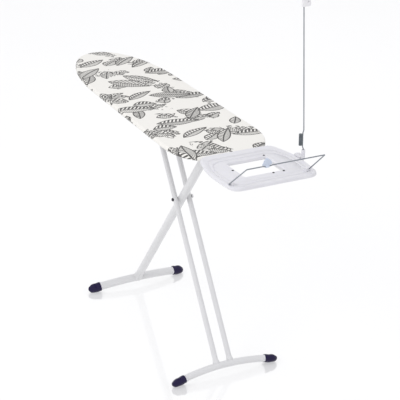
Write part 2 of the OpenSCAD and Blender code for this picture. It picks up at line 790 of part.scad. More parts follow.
module lever_grip() {
    arm = lever_end - lever_y;
    color(plastic_black) translate([lever_x, lever_y, lever_z]) difference() {
        translate([0, arm - grip_in, (lever_t - grip_h) / 2]) linear_extrude(grip_h)
            polygon(rounded([[-13, 0], [13, 0], [13, grip_in + 8], [-13, grip_in + 8]], [8, 8, 10, 10]));
        box(-blade, blade, arm - grip_in - 6, arm, 0, lever_t);
    }
}

cover();
felt_pad();
deck_sheet();
deck_rim();
cover_drawcord();
crossbar_front();
crossbar_mid();
crossbar_rear();
crossbar_tail();
rail_left();
rail_right();
rail_hangers();
height_rack();
leg_bracket();
leg_pivot_pin();
tray_arm_left();
tray_arm_right();
arm_spacers();
arm_screws();
iron_rest_tray();
tray_screws();
heat_studs();
mast_clamp();
main_leg_lug();
main_leg_tube();
main_foot_bar();
main_cap_left();
main_cap_right();
pivot_bush();
twin_tube_left();
twin_tube_right();
twin_foot_bar();
twin_cap_left();
twin_cap_right();
cross_bolt();
cross_nut();
pivot_washers();
slider_pins();
slider_bridge();
slider_shoe_left();
slider_shoe_right();
lever_pin();
lever_spring();
height_lever();
lever_grip();
bail_wire();
bail_plugs();
bail_latch();
mast_stub();
mast_spring();
mast_wire();
cord_clip();
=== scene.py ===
"""Folding ironing board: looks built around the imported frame, laid out as an add-on.

Every piece is a surface worked out with numpy in metres, in the frame's own coordinates:
+X from the nose of the board towards the iron rest, +Y towards the cord mast, +Z up.
"""

import json
import math

import bpy
import numpy as np
from bpy.props import FloatProperty, FloatVectorProperty, IntProperty, PointerProperty
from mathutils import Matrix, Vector


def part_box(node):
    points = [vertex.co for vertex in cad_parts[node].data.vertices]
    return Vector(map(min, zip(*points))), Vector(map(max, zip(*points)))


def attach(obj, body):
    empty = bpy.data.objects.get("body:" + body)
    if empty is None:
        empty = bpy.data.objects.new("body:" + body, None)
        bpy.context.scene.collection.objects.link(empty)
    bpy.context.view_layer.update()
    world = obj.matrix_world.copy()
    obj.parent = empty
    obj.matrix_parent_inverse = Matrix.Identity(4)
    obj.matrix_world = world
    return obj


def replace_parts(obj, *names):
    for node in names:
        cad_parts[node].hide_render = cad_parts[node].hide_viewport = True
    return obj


bl_info = {
    "name": "Ironing board builder",
    "version": (1, 0, 0),
    "blender": (4, 5, 0),
    "location": "View3D > Sidebar > Ironing board",
    "description": "Builds the cover, iron rest, stand, bail and cord mast of a folding ironing board",
    "category": "Add Mesh",
}

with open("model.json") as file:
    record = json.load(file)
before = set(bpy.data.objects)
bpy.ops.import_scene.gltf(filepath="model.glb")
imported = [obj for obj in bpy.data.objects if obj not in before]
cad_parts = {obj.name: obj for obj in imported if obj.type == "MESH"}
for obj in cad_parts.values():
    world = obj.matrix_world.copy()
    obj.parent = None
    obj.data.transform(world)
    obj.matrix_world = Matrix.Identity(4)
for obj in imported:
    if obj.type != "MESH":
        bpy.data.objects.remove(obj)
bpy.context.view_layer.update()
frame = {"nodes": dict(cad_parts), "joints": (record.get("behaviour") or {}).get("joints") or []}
JOINTS = {j["name"]: j for j in frame["joints"]}
MM = 0.001
# The rim of the iron rest above the ironing surface, the clip's height above it and the mast's lean
RIM_RISE = 0.008
CLIP_RISE = 0.521
MAST_LEAN = math.radians(3.6)
TAU = 2 * math.pi


def corners(node):
    """The lowest and highest corners of a CAD node, as two arrays."""
    low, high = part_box(node)
    return np.array(low), np.array(high)


def joint_at(name):
    """The point that a joint turns about."""
    return np.array(JOINTS[name]["pos_m"])


COVER_LOW, COVER_HIGH = corners("cover")
TRAY_LOW, TRAY_HIGH = corners("iron_rest_tray")
SURFACE_Z = float(COVER_HIGH[2])
TAIL_X = float(COVER_HIGH[0])


# --- Sizes and colours that a user would change ---------------------------------------


def linear(hex_colour):
    """An sRGB hex colour as linear red, green, blue and alpha."""
    values = np.array([int(hex_colour[i : i + 2], 16) / 255 for i in (1, 3, 5)])
    low, high = values / 12.92, ((values + 0.055) / 1.055) ** 2.4
    return (*np.where(values <= 0.04045, low, high).tolist(), 1.0)


def colour(name, what, hex_colour):
    """A colour that a user can change, from its sRGB hex value."""
    return FloatVectorProperty(
        name=name, description=what, subtype="COLOR", size=3, default=linear(hex_colour)[:3], min=0.0, max=1.0
    )


class CoverSizes(bpy.types.PropertyGroup):
    """Sizes of the padded cover"""

    length: FloatProperty(
        name="Length", description="Nose to tail", unit="LENGTH", default=float(COVER_HIGH[0] - COVER_LOW[0])
    )
    width: FloatProperty(
        name="Width", description="Width the taper runs out to at the tail", unit="LENGTH", default=0.376
    )
    nose: FloatProperty(name="Nose", description="Length of the rounded nose", unit="LENGTH", default=0.450)
    tail: FloatProperty(name="Tail", description="Length of the rounded tail", unit="LENGTH", default=0.200)
    edge: FloatProperty(name="Edge", description="Radius where the cloth turns down", unit="LENGTH", default=0.007)
    hem: FloatProperty(name="Hem", description="Width of the hem drawn in below", unit="LENGTH", default=0.026)
    gathers: IntProperty(name="Gathers", description="Puckers round the hem", default=150, min=20)
    cloth: colour("Cloth", "Colour of the bare cotton", "#eae8e3")
    ink: colour("Ink", "Colour of the printed leaves", "#1e1c1b")


class RestSizes(bpy.types.PropertyGroup):
    """Sizes of the moulded iron rest"""

    window_length: FloatProperty(name="Window length", description="Along the board", unit="LENGTH", default=0.133)
    window_width: FloatProperty(name="Window width", description="Across the board", unit="LENGTH", default=0.156)
    window_back: FloatProperty(
        name="Window place", description="Window's edge beyond the tail", unit="LENGTH", default=0.086
    )
    panel_drop: FloatProperty(name="Panel drop", description="Panel below the rim", unit="LENGTH", default=0.003)
    skirt: FloatProperty(name="Skirt", description="Depth of the skirt below the rim", unit="LENGTH", default=0.012)
    wall: FloatProperty(name="Wall", description="Thickness of the moulding", unit="LENGTH", default=0.0026)
    moulding: colour("Moulding", "Palest colour of the moulding", "#dddde1")


class StandSizes(bpy.types.PropertyGroup):
    """Sizes of the legs and feet"""

    main_tube: FloatProperty(name="Main tube", description="Diameter", unit="LENGTH", default=0.032)
    twin_tube: FloatProperty(name="Twin tube", description="Diameter", unit="LENGTH", default=0.020)
    foot_length: FloatProperty(name="Foot", description="Length over the caps", unit="LENGTH", default=0.442)
    foot_rise: FloatProperty(name="Arch", description="Rise of the foot's arch", unit="LENGTH", default=0.021)
    foot_height: FloatProperty(name="Foot height", description="Foot tube, upright", unit="LENGTH", default=0.032)
    foot_depth: FloatProperty(name="Foot depth", description="Foot tube, front to back", unit="LENGTH", default=0.026)
    foot_level: FloatProperty(name="Foot level", description="Centre of a foot's end", unit="LENGTH", default=0.018)
    coat: colour("Coat", "Palest colour of the powder coat", "#dddddf")
    caps: colour("Caps", "Colour of the end caps", "#150a38")


class WireSizes(bpy.types.PropertyGroup):
    """Sizes of the bail and the cord mast"""

    wire: FloatProperty(name="Wire", description="Diameter", unit="LENGTH", default=0.004)
    bail_arm: FloatProperty(name="Bail arm", description="Length of the bail's arms", unit="LENGTH", default=0.138)
    bail_lean: FloatProperty(
        name="Bail lean", description="Arms above the horizontal", subtype="ANGLE", default=math.radians(40)
    )
    bail_half: FloatProperty(name="Bail half", description="Half of the bail's width", unit="LENGTH", default=0.150)
    bail_top: FloatProperty(name="Bail top", description="Half of its width at the top", unit="LENGTH", default=0.142)
    notch_place: FloatProperty(name="Notch", description="Place of the notch across", unit="LENGTH", default=-0.0665)
    notch_depth: FloatProperty(name="Notch depth", description="Depth of the notch", unit="LENGTH", default=0.006)
    coil: FloatProperty(name="Coil", description="Outer diameter of the mast's spring", unit="LENGTH", default=0.016)
    coil_turns: IntProperty(name="Turns", description="Turns of the mast's spring", default=11, min=3)


# --- Mesh making ----------------------------------------------------------------------


def grid_quads(rows, cols, wrap=True):
    """Faces of a grid: each joins a vertex to its neighbours along the row and the next row."""
    i, j = np.meshgrid(np.arange(rows - 1), np.arange(cols if wrap else cols - 1), indexing="ij")
    k = (j + 1) % cols
    quads = np.stack([i * cols + j, i * cols + k, (i + 1) * cols + k, (i + 1) * cols + j], axis=-1)
    return quads.reshape(-1, 4)


def build(name, points, faces, body, material, uv=None, smooth=True):
    """A mesh object from an array of points and lists of faces, riding on a body."""
    mesh = bpy.data.meshes.new(name)
    mesh.from_pydata(np.asarray(points).reshape(-1, 3).tolist(), [], [list(map(int, f)) for f in faces])
    mesh.validate()
    if uv is not None:
        layer = mesh.uv_layers.new(name="cloth")
        loops = np.empty(len(mesh.loops), dtype=np.int32)
        mesh.loops.foreach_get("vertex_index", loops)
        layer.data.foreach_set("uv", np.asarray(uv)[loops].astype(np.float32).ravel())
    mesh.polygons.foreach_set("use_smooth", np.full(len(mesh.polygons), smooth))
    mesh.materials.append(material)
    piece = bpy.data.objects.new(name, mesh)
    bpy.context.scene.collection.objects.link(piece)
    outward(mesh)
    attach(piece, body)
    return piece


def outward(mesh):
    """Turns every face of a mesh outwards."""
    import bmesh

    work = bmesh.new()
    work.from_mesh(mesh)
    bmesh.ops.remove_doubles(work, verts=work.verts, dist=1e-6)
    bmesh.ops.recalc_face_normals(work, faces=work.faces)
    work.to_mesh(mesh)
    work.free()


def closed_rings(rings):
    """Points and faces of stacked rings: quads between them, and a fan to the middle of each end."""
    rows, cols, _ = rings.shape
    ends = np.stack([rings[0].mean(axis=0), rings[-1].mean(axis=0)])
    points = np.concatenate([rings.reshape(-1, 3), ends])
    first, last = rows * cols, rows * cols + 1
    j = np.arange(cols)
    k = (j + 1) % cols
    low = np.stack([np.full(cols, first), k, j], axis=-1)
    high = np.stack([np.full(cols, last), (rows - 1) * cols + j, (rows - 1) * cols + k], axis=-1)
    return points, grid_quads(rows, cols).tolist() + low.tolist() + high.tolist()


def unit(v):
    """Vectors divided by their lengths."""
    v = np.asarray(v, dtype=float)
    return v / np.linalg.norm(v, axis=-1, keepdims=True)


def rings_along(path, across, up_hint, scale=None):
    """Rings of an outline carried along a path.

    across is an array of (side, up) offsets. Each ring stands square to the path: its side axis is
    the path's direction crossed with up_hint, and its up axis is the side axis crossed with the direction.
    """
    path = np.asarray(path, dtype=float)
    ahead = unit(np.gradient(path, axis=0))
    side = unit(np.cross(ahead, up_hint))
    up = np.cross(side, ahead)
    size = np.ones(len(path)) if scale is None else np.asarray(scale)
    offsets = size[:, None, None] * across[None, :, :]
    return path[:, None, :] + offsets[:, :, :1] * side[:, None, :] + offsets[:, :, 1:] * up[:, None, :]


def round_profile(diameter, sides=20):
    """A circle: half the diameter times cosine and sine."""
    a = TAU * np.arange(sides) / sides
    return 0.5 * diameter * np.stack([np.cos(a), np.sin(a)], axis=-1)


def oval_profile(height, depth, sides=40):
    """A squarish oval: signed powers 0.8 of cosine and sine, times half the depth and half the height."""
    a = TAU * np.arange(sides) / sides
    power = lambda v: np.sign(v) * np.abs(v) ** 0.8
    return np.stack([0.5 * depth * power(np.cos(a)), 0.5 * height * power(np.sin(a))], axis=-1)


def turned_corners(points, cut, steps=6):
    """A path whose corners are quadratic curves that start and end a cut's length from each corner."""
    points = np.asarray(points, dtype=float)
    t = np.linspace(0, 1, steps)[:, None]
    out = [points[:1]]
    for a, p, b in zip(points[:-2], points[1:-1], points[2:]):
        s, e = p + unit(a - p) * cut, p + unit(b - p) * cut
        out.append((1 - t) ** 2 * s + 2 * t * (1 - t) * p + t**2 * e)
    out.append(points[-1:])
    return np.concatenate(out)


def spaced(path, step):
    """The same path with points no further apart than step, by interpolation along its length."""
    run = np.concatenate([[0], np.cumsum(np.linalg.norm(np.diff(path, axis=0), axis=1))])
    marks = np.unique(np.concatenate([run, np.arange(0, run[-1], step)]))
    marks = marks[np.concatenate([[True], np.diff(marks) > 1e-5])]
    return np.stack([np.interp(marks, run, path[:, k]) for k in range(3)], axis=-1)


def wire_piece(name, path, diameter, up_hint, body, material, sides=14, step=0.02):
    """A round wire along a path, with its ends rounded over by two shrinking rings."""
    path = spaced(np.asarray(path, dtype=float), step)
    r = diameter / 2
    start, end = unit(path[0] - path[1]), unit(path[-1] - path[-2])
    path = np.concatenate([[path[0] + start * r * 0.5, path[0] + start * r * 0.35], path,
                           [path[-1] + end * r * 0.35, path[-1] + end * r * 0.5]])
    scale = np.ones(len(path))
    scale[[0, -1]] = 0.45
    scale[[1, -2]] = 0.85
    rings = rings_along(path, round_profile(diameter, sides), up_hint, scale)
    points, faces = closed_rings(rings)
    return build(name, points, faces, body, material)


def turned(name, profile, centre, axis, body, slot, material, sides=40):
    """A turned piece: rings whose radius and height follow the profile, round an axis through centre."""
    profile = np.asarray(profile, dtype=float)
    axis = unit(axis)
    hint = np.array([0.0, 0.0, 1.0]) if abs(axis[2]) < 0.9 else np.array([1.0, 0.0, 0.0])
    u = unit(np.cross(axis, hint))
    w = np.cross(axis, u)
    a = TAU * np.arange(sides) / sides
    ring = np.cos(a)[:, None] * u + np.sin(a)[:, None] * w
    rings = np.asarray(centre) + profile[:, None, :1] * ring[None] + profile[:, None, 1:] * axis
    points, faces = closed_rings(rings)
    return build(name, points, faces, body, material)


def block(name, low, high, soft, body, slot, material, turn=None, sides=48, rows=24):
    """A moulded block with rounded edges: a ball whose sine and cosine are raised to a small power."""
    centre, half = (np.asarray(low) + np.asarray(high)) / 2, (np.asarray(high) - np.asarray(low)) / 2
    power = lambda v: np.sign(v) * np.abs(v) ** soft
    lat = np.linspace(-math.pi / 2, math.pi / 2, rows + 2)[1:-1, None]
    lon = (TAU * (np.arange(sides) + 0.5) / sides)[None, :]
    x = power(np.cos(lat)) * power(np.cos(lon))
    y = power(np.cos(lat)) * power(np.sin(lon))
    z = power(np.sin(lat)) * np.ones_like(lon)
    rings = np.stack([x, y, z], axis=-1) * half
    if turn is not None:
        rings = rings @ np.asarray(turn).T
    points, faces = closed_rings(rings + centre)
    return build(name, points, faces, body, material)


def joined(name, parts):
    """One object from several, keeping the first one's body and material."""
    first = parts[0]
    with bpy.context.temp_override(
        active_object=first, selected_editable_objects=parts, object=first, selected_objects=parts
    ):
        bpy.ops.object.join()
    first.name = name
    return first


def flat_piece(name, loops, thickness, bevel, to_world, body, material):
    """A plate cut from flat outlines: the first loop is its edge and the others are its holes."""
    curve = bpy.data.curves.new(name, "CURVE")
    curve.dimensions = "2D"
    curve.fill_mode = "BOTH"
    curve.extrude = thickness / 2 - bevel
    curve.bevel_depth = bevel
    curve.bevel_resolution = 3
    for loop in loops:
        spline = curve.splines.new("POLY")
        spline.points.add(len(loop) - 1)
        spline.points.foreach_set("co", np.c_[loop, np.zeros(len(loop)), np.ones(len(loop))].ravel())
        spline.use_cyclic_u = True
    scratch = bpy.data.objects.new(name, curve)
    mesh = bpy.data.meshes.new_from_object(scratch)
    bpy.data.objects.remove(scratch)
    count = len(mesh.vertices)
    flat = np.empty(count * 3)
    mesh.vertices.foreach_get("co", flat)
    faces = [tuple(p.vertices) for p in mesh.polygons]
    piece = build(name, to_world(flat.reshape(-1, 3)), faces, body, material, smooth=False)
    bpy.data.meshes.remove(mesh)
    return piece


def soft_loop(points, cuts, steps=6):
    """A closed flat outline whose corners are quadratic curves cut back by the given lengths."""
    points = np.asarray(points, dtype=float)
    before, after = np.roll(points, 1, axis=0), np.roll(points, -1, axis=0)
    t = np.linspace(0, 1, steps)[:, None]
    out = []
    for a, p, b, c in zip(before, points, after, cuts):
        s, e = p + unit(a - p) * c, p + unit(b - p) * c
        out.append((1 - t) ** 2 * s + 2 * t * (1 - t) * p + t**2 * e)
    return np.concatenate(out)


def by_angle(loop, centre, count):
    """The loop's points at evenly spaced shares of its turn round a centre."""
    rel = loop - centre
    a = np.unwrap(np.arctan2(rel[:, 1], rel[:, 0]))
    if a[-1] < a[0]:
        a, rel = a[::-1], rel[::-1]
    grid = a[0] + TAU * np.arange(count) / count
    a = np.append(a, a[0] + TAU)
    rel = np.vstack([rel, rel[:1]])
    return centre + np.stack([np.interp(grid, a, rel[:, k]) for k in (0, 1)], axis=-1)


# --- Materials ------------------------------------------------------------------------


def add(tree, kind, inputs=None, **settings):
    """Adds a node, sets its properties, and sets or links its inputs."""
    made = tree.nodes.new(kind)
    for key, value in settings.items():
        setattr(made, key, value)
    for key, value in (inputs or {}).items():
        if isinstance(value, bpy.types.NodeSocket):
            tree.links.new(value, made.inputs[key])
        else:
            made.inputs[key].default_value = value
    return made


def maths(tree, operation, *values):
    """A Math node on the given values, and its output."""
    return add(tree, "ShaderNodeMath", dict(enumerate(values)), operation=operation).outputs[0]


def new_material(name):
    """An empty material, its tree, its shader and its object coordinates."""
    material = bpy.data.materials.new(name)
    material.use_nodes = True
    tree = material.node_tree
    shader = tree.nodes["Principled BSDF"]
    place = add(tree, "ShaderNodeTexCoord").outputs["Object"]
    return material, tree, shader, place


def set_shader(shader, **values):
    """Sets constant inputs on a shader, with underscores for the spaces in their names."""
    for key, value in values.items():
        shader.inputs[key.replace("_", " ")].default_value = value


def noise(tree, place, size, detail=3.0, roughness=0.5):
    """Noise whose grains are about the given size in metres."""
    return add(
        tree,
        "ShaderNodeTexNoise",
        {"Vector": place, "Scale": 1 / size, "Detail": detail, "Roughness": roughness},
    ).outputs["Fac"]


def spread(tree, value, low, high):
    """A value from 0 to 1 moved to run from low to high."""
    return add(tree, "ShaderNodeMapRange", {"Value": value, "To Min": low, "To Max": high}).outputs[0]


def two_tone(tree, value, first, second):
    """A colour between two, by a value from 0 to 1. Each is a hex value or a colour from the panel."""
    mix = add(tree, "ShaderNodeMix", {"Factor": value}, data_type="RGBA")
    for place, tone in ((6, first), (7, second)):
        mix.inputs[place].default_value = linear(tone) if isinstance(tone, str) else (*tone, 1.0)
    return mix.outputs[2]


def bump(tree, height, distance, strength=1.0):
    """A bump of the given real height."""
    return add(
        tree, "ShaderNodeBump", {"Height": height, "Distance": distance, "Strength": strength}
    ).outputs["Normal"]


def powder_coat():
    """Polyester powder coat on steel tube: sprayed and baked, so it flows into a faint orange peel."""
    material, tree, shader, place = new_material("powder_coat_white")
    peel = noise(tree, place, 2.2 * MM, 2.0)
    drift = noise(tree, place, 60 * MM, 2.0)
    tree.links.new(two_tone(tree, drift, "#d4d4d5", bpy.context.scene.board_stand.coat), shader.inputs["Base Color"])
    tree.links.new(spread(tree, drift, 0.26, 0.36), shader.inputs["Roughness"])
    tree.links.new(bump(tree, peel, 0.12 * MM, 0.5), shader.inputs["Normal"])
    set_shader(shader, IOR=1.5, Coat_Weight=0.25, Coat_Roughness=0.12)
    return material


def moulded_white():
    """Injection-moulded polypropylene: satin white with a cool cast, a fine spark-eroded grain and soft depth."""
    material, tree, shader, place = new_material("polypropylene_white")
    grain = noise(tree, place, 0.9 * MM, 4.0, 0.7)
    flow = noise(tree, place, 45 * MM, 1.0)
    tree.links.new(two_tone(tree, flow, "#d7d6db", bpy.context.scene.board_rest.moulding), shader.inputs["Base Color"])
    tree.links.new(spread(tree, grain, 0.30, 0.44), shader.inputs["Roughness"])
    tree.links.new(bump(tree, grain, 0.05 * MM, 0.6), shader.inputs["Normal"])
    set_shader(shader, IOR=1.49, Subsurface_Weight=0.08, Subsurface_Radius=(0.004, 0.004, 0.005))
    return material


def plain_moulding(name, dark, light, rough, grain_size=0.8 * MM):
    """A moulded engineering plastic: mottled a little by its flow, with a fine eroded grain."""
    material, tree, shader, place = new_material(name)
    grain = noise(tree, place, grain_size, 4.0, 0.7)
    flow = noise(tree, place, 12 * MM, 2.0)
    tree.links.new(two_tone(tree, flow, dark, light), shader.inputs["Base Color"])
    tree.links.new(spread(tree, grain, rough - 0.06, rough + 0.08), shader.inputs["Roughness"])
    tree.links.new(bump(tree, grain, 0.05 * MM, 0.5), shader.inputs["Normal"])
    set_shader(shader, IOR=1.5)
    return material


def cap_vinyl():
    """Dip-moulded vinyl end caps: glossy dark navy, with a soft sheen and fine scuffs low down."""
    material, tree, shader, place = new_material("vinyl_navy")
    height = add(tree, "ShaderNodeSeparateXYZ", {"Vector": place}).outputs["Z"]
    low = add(tree, "ShaderNodeMapRange", {"Value": height, "From Min": 0.0, "From Max": 0.008}).outputs[0]
    scuff = noise(tree, place, 1.5 * MM, 5.0, 0.7)
    worn = maths(tree, "MULTIPLY", maths(tree, "SUBTRACT", 1.0, low), scuff)
    tree.links.new(two_tone(tree, worn, bpy.context.scene.board_stand.caps, "#2a2544"), shader.inputs["Base Color"])
    tree.links.new(spread(tree, scuff, 0.18, 0.32), shader.inputs["Roughness"])
    tree.links.new(bump(tree, scuff, 0.03 * MM, 0.4), shader.inputs["Normal"])
    set_shader(shader, IOR=1.36, Coat_Weight=0.05, Coat_Roughness=0.2)
    return material


def drawn_wire(name, dark, light, rough):
    """Drawn steel wire: fine die lines along its length, with a dull zinc finish between them."""
    material, tree, shader, place = new_material(name)
    lines = noise(tree, place, 0.7 * MM, 5.0, 0.8)
    patches = noise(tree, place, 14 * MM, 2.0)
    tree.links.new(two_tone(tree, patches, dark, light), shader.inputs["Base Color"])
    tree.links.new(spread(tree, lines, rough - 0.08, rough + 0.10), shader.inputs["Roughness"])
    tree.links.new(bump(tree, lines, 0.04 * MM, 0.5), shader.inputs["Normal"])
    set_shader(shader, Metallic=1.0)
    return material


def galvanised():
    """Hot-dip galvanised sheet: zinc crystals a few millimetres wide, each a slightly different grey."""
    material, tree, shader, place = new_material("galvanised_sheet")
    flakes = add(tree, "ShaderNodeTexVoronoi", {"Vector": place, "Scale": 1 / (6 * MM)})
    shade = add(tree, "ShaderNodeSeparateXYZ", {"Vector": flakes.outputs["Color"]}).outputs["X"]
    fine = noise(tree, place, 1.0 * MM, 4.0)
    tree.links.new(two_tone(tree, shade, "#9a9da0", "#b9bcbe"), shader.inputs["Base Color"])
    tree.links.new(spread(tree, shade, 0.34, 0.52), shader.inputs["Roughness"])
    tree.links.new(bump(tree, fine, 0.04 * MM, 0.4), shader.inputs["Normal"])
    set_shader(shader, Metallic=1.0)
    return material


def zinc_plate():
    """Bright zinc-plated fasteners: nearly mirror bright under a faint blue passivation."""
    material, tree, shader, place = new_material("zinc_plate")
    haze = noise(tree, place, 3 * MM, 3.0)
    tree.links.new(two_tone(tree, haze, "#b9bec6", "#d2d4d6"), shader.inputs["Base Color"])
    tree.links.new(spread(tree, haze, 0.18, 0.34), shader.inputs["Roughness"])
    set_shader(shader, Metallic=1.0)
    return material


def needle_felt():
    """Needled polyester felt: matted grey fibres with paler and darker flecks."""
    material, tree, shader, place = new_material("needle_felt")
    fibres = noise(tree, place, 1.2 * MM, 8.0, 0.8)
    tree.links.new(two_tone(tree, fibres, "#8f8c88", "#d8d5cf"), shader.inputs["Base Color"])
    tree.links.new(bump(tree, fibres, 0.8 * MM, 1.0), shader.inputs["Normal"])
    set_shader(shader, Roughness=0.95, Sheen_Weight=0.3)
    return material


def leaf_layer():
    """A group that prints one leaf in each square of a lattice, all worked out in metres.

    The square's own random numbers turn, bend and size its leaf. With u running from -1 to 1 along
    the leaf, its half width is (1 - u squared) times (1 - u / 4) times its greatest half width, and
    its midrib bows as u squared. One half carries dark bars and the other pale strokes over grey.
    """
    group = bpy.data.node_groups.new("leaf_layer", "ShaderNodeTree")
    face = group.interface
    for name in ("Cloth", "Shift"):
        face.new_socket(name, in_out="INPUT", socket_type="NodeSocketVector")
    for name in ("Turn", "Cell", "Length", "Roundness"):
        face.new_socket(name, in_out="INPUT", socket_type="NodeSocketFloat")
    for name in ("Ink", "Mask"):
        face.new_socket(name, in_out="OUTPUT", socket_type="NodeSocketFloat")
    given = group.nodes.new("NodeGroupInput").outputs
    result = group.nodes.new("NodeGroupOutput").inputs

    def vector(operation, *values, **more):
        inputs = {**dict(enumerate(values)), **more}
        return add(group, "ShaderNodeVectorMath", inputs, operation=operation).outputs[0]

    def times(a, b):
        return maths(group, "MULTIPLY", a, b)

    def minus(a, b):
        return maths(group, "SUBTRACT", a, b)

    def under(a, b):
        return maths(group, "LESS_THAN", a, b)

    def over(a, b):
        return maths(group, "GREATER_THAN", a, b)

    # The lattice, and each square's own random numbers
    shifted = vector("ADD", given["Cloth"], given["Shift"])
    spun = add(
        group, "ShaderNodeVectorRotate", {"Vector": shifted, "Angle": given["Turn"]}, rotation_type="Z_AXIS"
    ).outputs[0]
    scaled = vector("SCALE", spun, Scale=maths(group, "DIVIDE", 1.0, given["Cell"]))
    square = vector("FLOOR", scaled)
    centred = vector("SUBTRACT", vector("SUBTRACT", scaled, square), (0.5, 0.5, 0.0))
    place = vector("SCALE", centred, Scale=given["Cell"])
    dice = add(
        group, "ShaderNodeTexWhiteNoise", {"Vector": vector("ADD", square, given["Shift"])}, noise_dimensions="3D"
    )
    rolls = add(group, "ShaderNodeSeparateXYZ", {"Vector": dice.outputs["Color"]}).outputs
    more = add(
        group, "ShaderNodeTexWhiteNoise", {"Vector": vector("SUBTRACT", square, given["Shift"])}, noise_dimensions="3D"
    )
    extra = add(group, "ShaderNodeSeparateXYZ", {"Vector": more.outputs["Color"]}).outputs

    # Leaves lean mostly across the board
    angle = minus(spread(group, dice.outputs["Value"], -3.10, -0.40), given["Turn"])
    lying = add(group, "ShaderNodeVectorRotate", {"Vector": place, "Angle": angle}, rotation_type="Z_AXIS").outputs[0]
    xy = add(group, "ShaderNodeSeparateXYZ", {"Vector": lying}).outputs
    half = times(times(given["Length"], 0.5), spread(group, rolls["X"], 0.70, 1.0))
    wide = times(half, maths(group, "ADD", spread(group, rolls["Y"], 0.33, 0.46), given["Roundness"]))
    u = maths(group, "DIVIDE", xy["X"], half)
    u2 = times(u, u)
    bow = times(times(minus(u2, 0.4), wide), spread(group, rolls["Z"], -0.30, 0.30))
    side = minus(xy["Y"], bow)
    across = maths(group, "ABSOLUTE", side)
    outline = times(times(minus(1.0, u2), minus(1.0, times(u, 0.25))), wide)
    edge = minus(outline, across)
    mask = over(edge, 0.0)

    # The drawing: outline, midrib, bars on one half, strokes on the other
    rim = under(edge, 0.0046)
    rib = under(across, 0.0028)
    slant = minus(xy["X"], times(across, 0.42))
    width = spread(group, extra["Y"], 0.44, 0.62)
    bars = under(maths(group, "FRACT", times(slant, 1 / 0.0145)), width)
    strokes = under(maths(group, "FRACT", times(slant, 1 / 0.0078)), 0.46)
    upper = over(side, 0.0)
    plain = over(extra["X"], 0.88)
    barred_half = maths(group, "MAXIMUM", minus(upper, plain), 0.0)
    barred = times(times(bars, barred_half), over(across, 0.0036))
    shaded = minus(1.0, barred_half)
    grey = times(shaded, maths(group, "ADD", times(strokes, 0.66), spread(group, extra["Z"], 0.05, 0.24)))
    ink = maths(group, "MAXIMUM", maths(group, "MAXIMUM", rim, rib), maths(group, "MAXIMUM", barred, grey))
    group.links.new(ink, result["Ink"])
    group.links.new(mask, result["Mask"])
    return group


def printed_cotton():
    """Printed cotton over foam: plain weave in off-white, with charcoal block-print leaves that overlap."""
    material, tree, shader, _ = new_material("printed_cotton")
    cloth = add(tree, "ShaderNodeUVMap", uv_map="cloth").outputs["UV"]
    wobble = add(tree, "ShaderNodeTexNoise", {"Vector": cloth, "Scale": 1 / (24 * MM), "Detail": 2.0})
    drift = add(
        tree, "ShaderNodeVectorMath", {0: wobble.outputs["Color"], 1: (0.5, 0.5, 0.5)}, operation="SUBTRACT"
    ).outputs[0]
    drift = add(tree, "ShaderNodeVectorMath", {0: drift, "Scale": 1.8 * MM}, operation="SCALE").outputs[0]
    drawn = add(tree, "ShaderNodeVectorMath", {0: cloth, 1: drift}, operation="ADD").outputs[0]
    layer = leaf_layer()
    printed = 0.0
    # Each layer's lattice is turned and shifted by its own amount, so its leaves fall between those below
    for cell, length, roundness, turn, shift in (
        (0.175, 0.100, 0.24, 0.4, (3.07, 1.31, 0.0)),
        (0.200, 0.165, 0.00, 1.1, (0.11, 2.43, 1.0)),
        (0.190, 0.105, 0.22, 2.5, (2.36, 5.18, 2.0)),
        (0.205, 0.170, 0.00, 2.0, (5.22, 0.36, 3.0)),
        (0.215, 0.190, 0.00, 2.7, (1.68, 4.57, 4.0)),
    ):
        leaves = add(tree, "ShaderNodeGroup", node_tree=layer)
        tree.links.new(drawn, leaves.inputs["Cloth"])
        leaves.inputs["Shift"].default_value = shift
        leaves.inputs["Turn"].default_value = turn
        leaves.inputs["Cell"].default_value = cell
        leaves.inputs["Length"].default_value = length
        leaves.inputs["Roundness"].default_value = roundness
        mix = add(
            tree, "ShaderNodeMix", {"Factor": leaves.outputs["Mask"], 2: printed, 3: leaves.outputs["Ink"]},
            data_type="FLOAT",
        )
        printed = mix.outputs[0]
    patchy = noise(tree, cloth, 5 * MM, 4.0, 0.6)
    inked = maths(tree, "MULTIPLY", printed, spread(tree, patchy, 0.84, 1.0))
    s = bpy.context.scene.board_cover
    tree.links.new(two_tone(tree, inked, s.cloth, s.ink), shader.inputs["Base Color"])
    # Plain weave, drawn at 1.2 mm where the real threads are 0.4 mm, so that it shows
    weave = []
    for direction in ("X", "Y"):
        threads = add(
            tree, "ShaderNodeTexWave", {"Vector": cloth, "Scale": 1 / (1.2 * MM) / TAU * 2, "Distortion": 0.4},
            bands_direction=direction,
        )
        weave.append(threads.outputs["Fac"])
    height = maths(tree, "ADD", maths(tree, "MULTIPLY", weave[0], 0.5), maths(tree, "MULTIPLY", weave[1], 0.5))
    tree.links.new(bump(tree, height, 0.12 * MM, 0.6), shader.inputs["Normal"])
    set_shader(shader, Roughness=0.88, Sheen_Weight=0.10, Sheen_Roughness=0.5)
    return material


def floor_panel():
    """Studio floor: a back-lit white acrylic panel, so its own light hides shadows under a glossy top."""
    material, tree, shader, place = new_material("acrylic_light_panel")
    drift = noise(tree, place, 1.5, 1.0)
    tree.links.new(two_tone(tree, drift, "#9c9c9d", "#a0a0a0"), shader.inputs["Base Color"])
    set_shader(shader, Roughness=0.6, IOR=1.3, Coat_Weight=1.0, Coat_Roughness=0.05, Coat_IOR=3.3)
    set_shader(shader, Emission_Color=linear("#ffffff"), Emission_Strength=0.70)
    return material


MATERIALS = {}


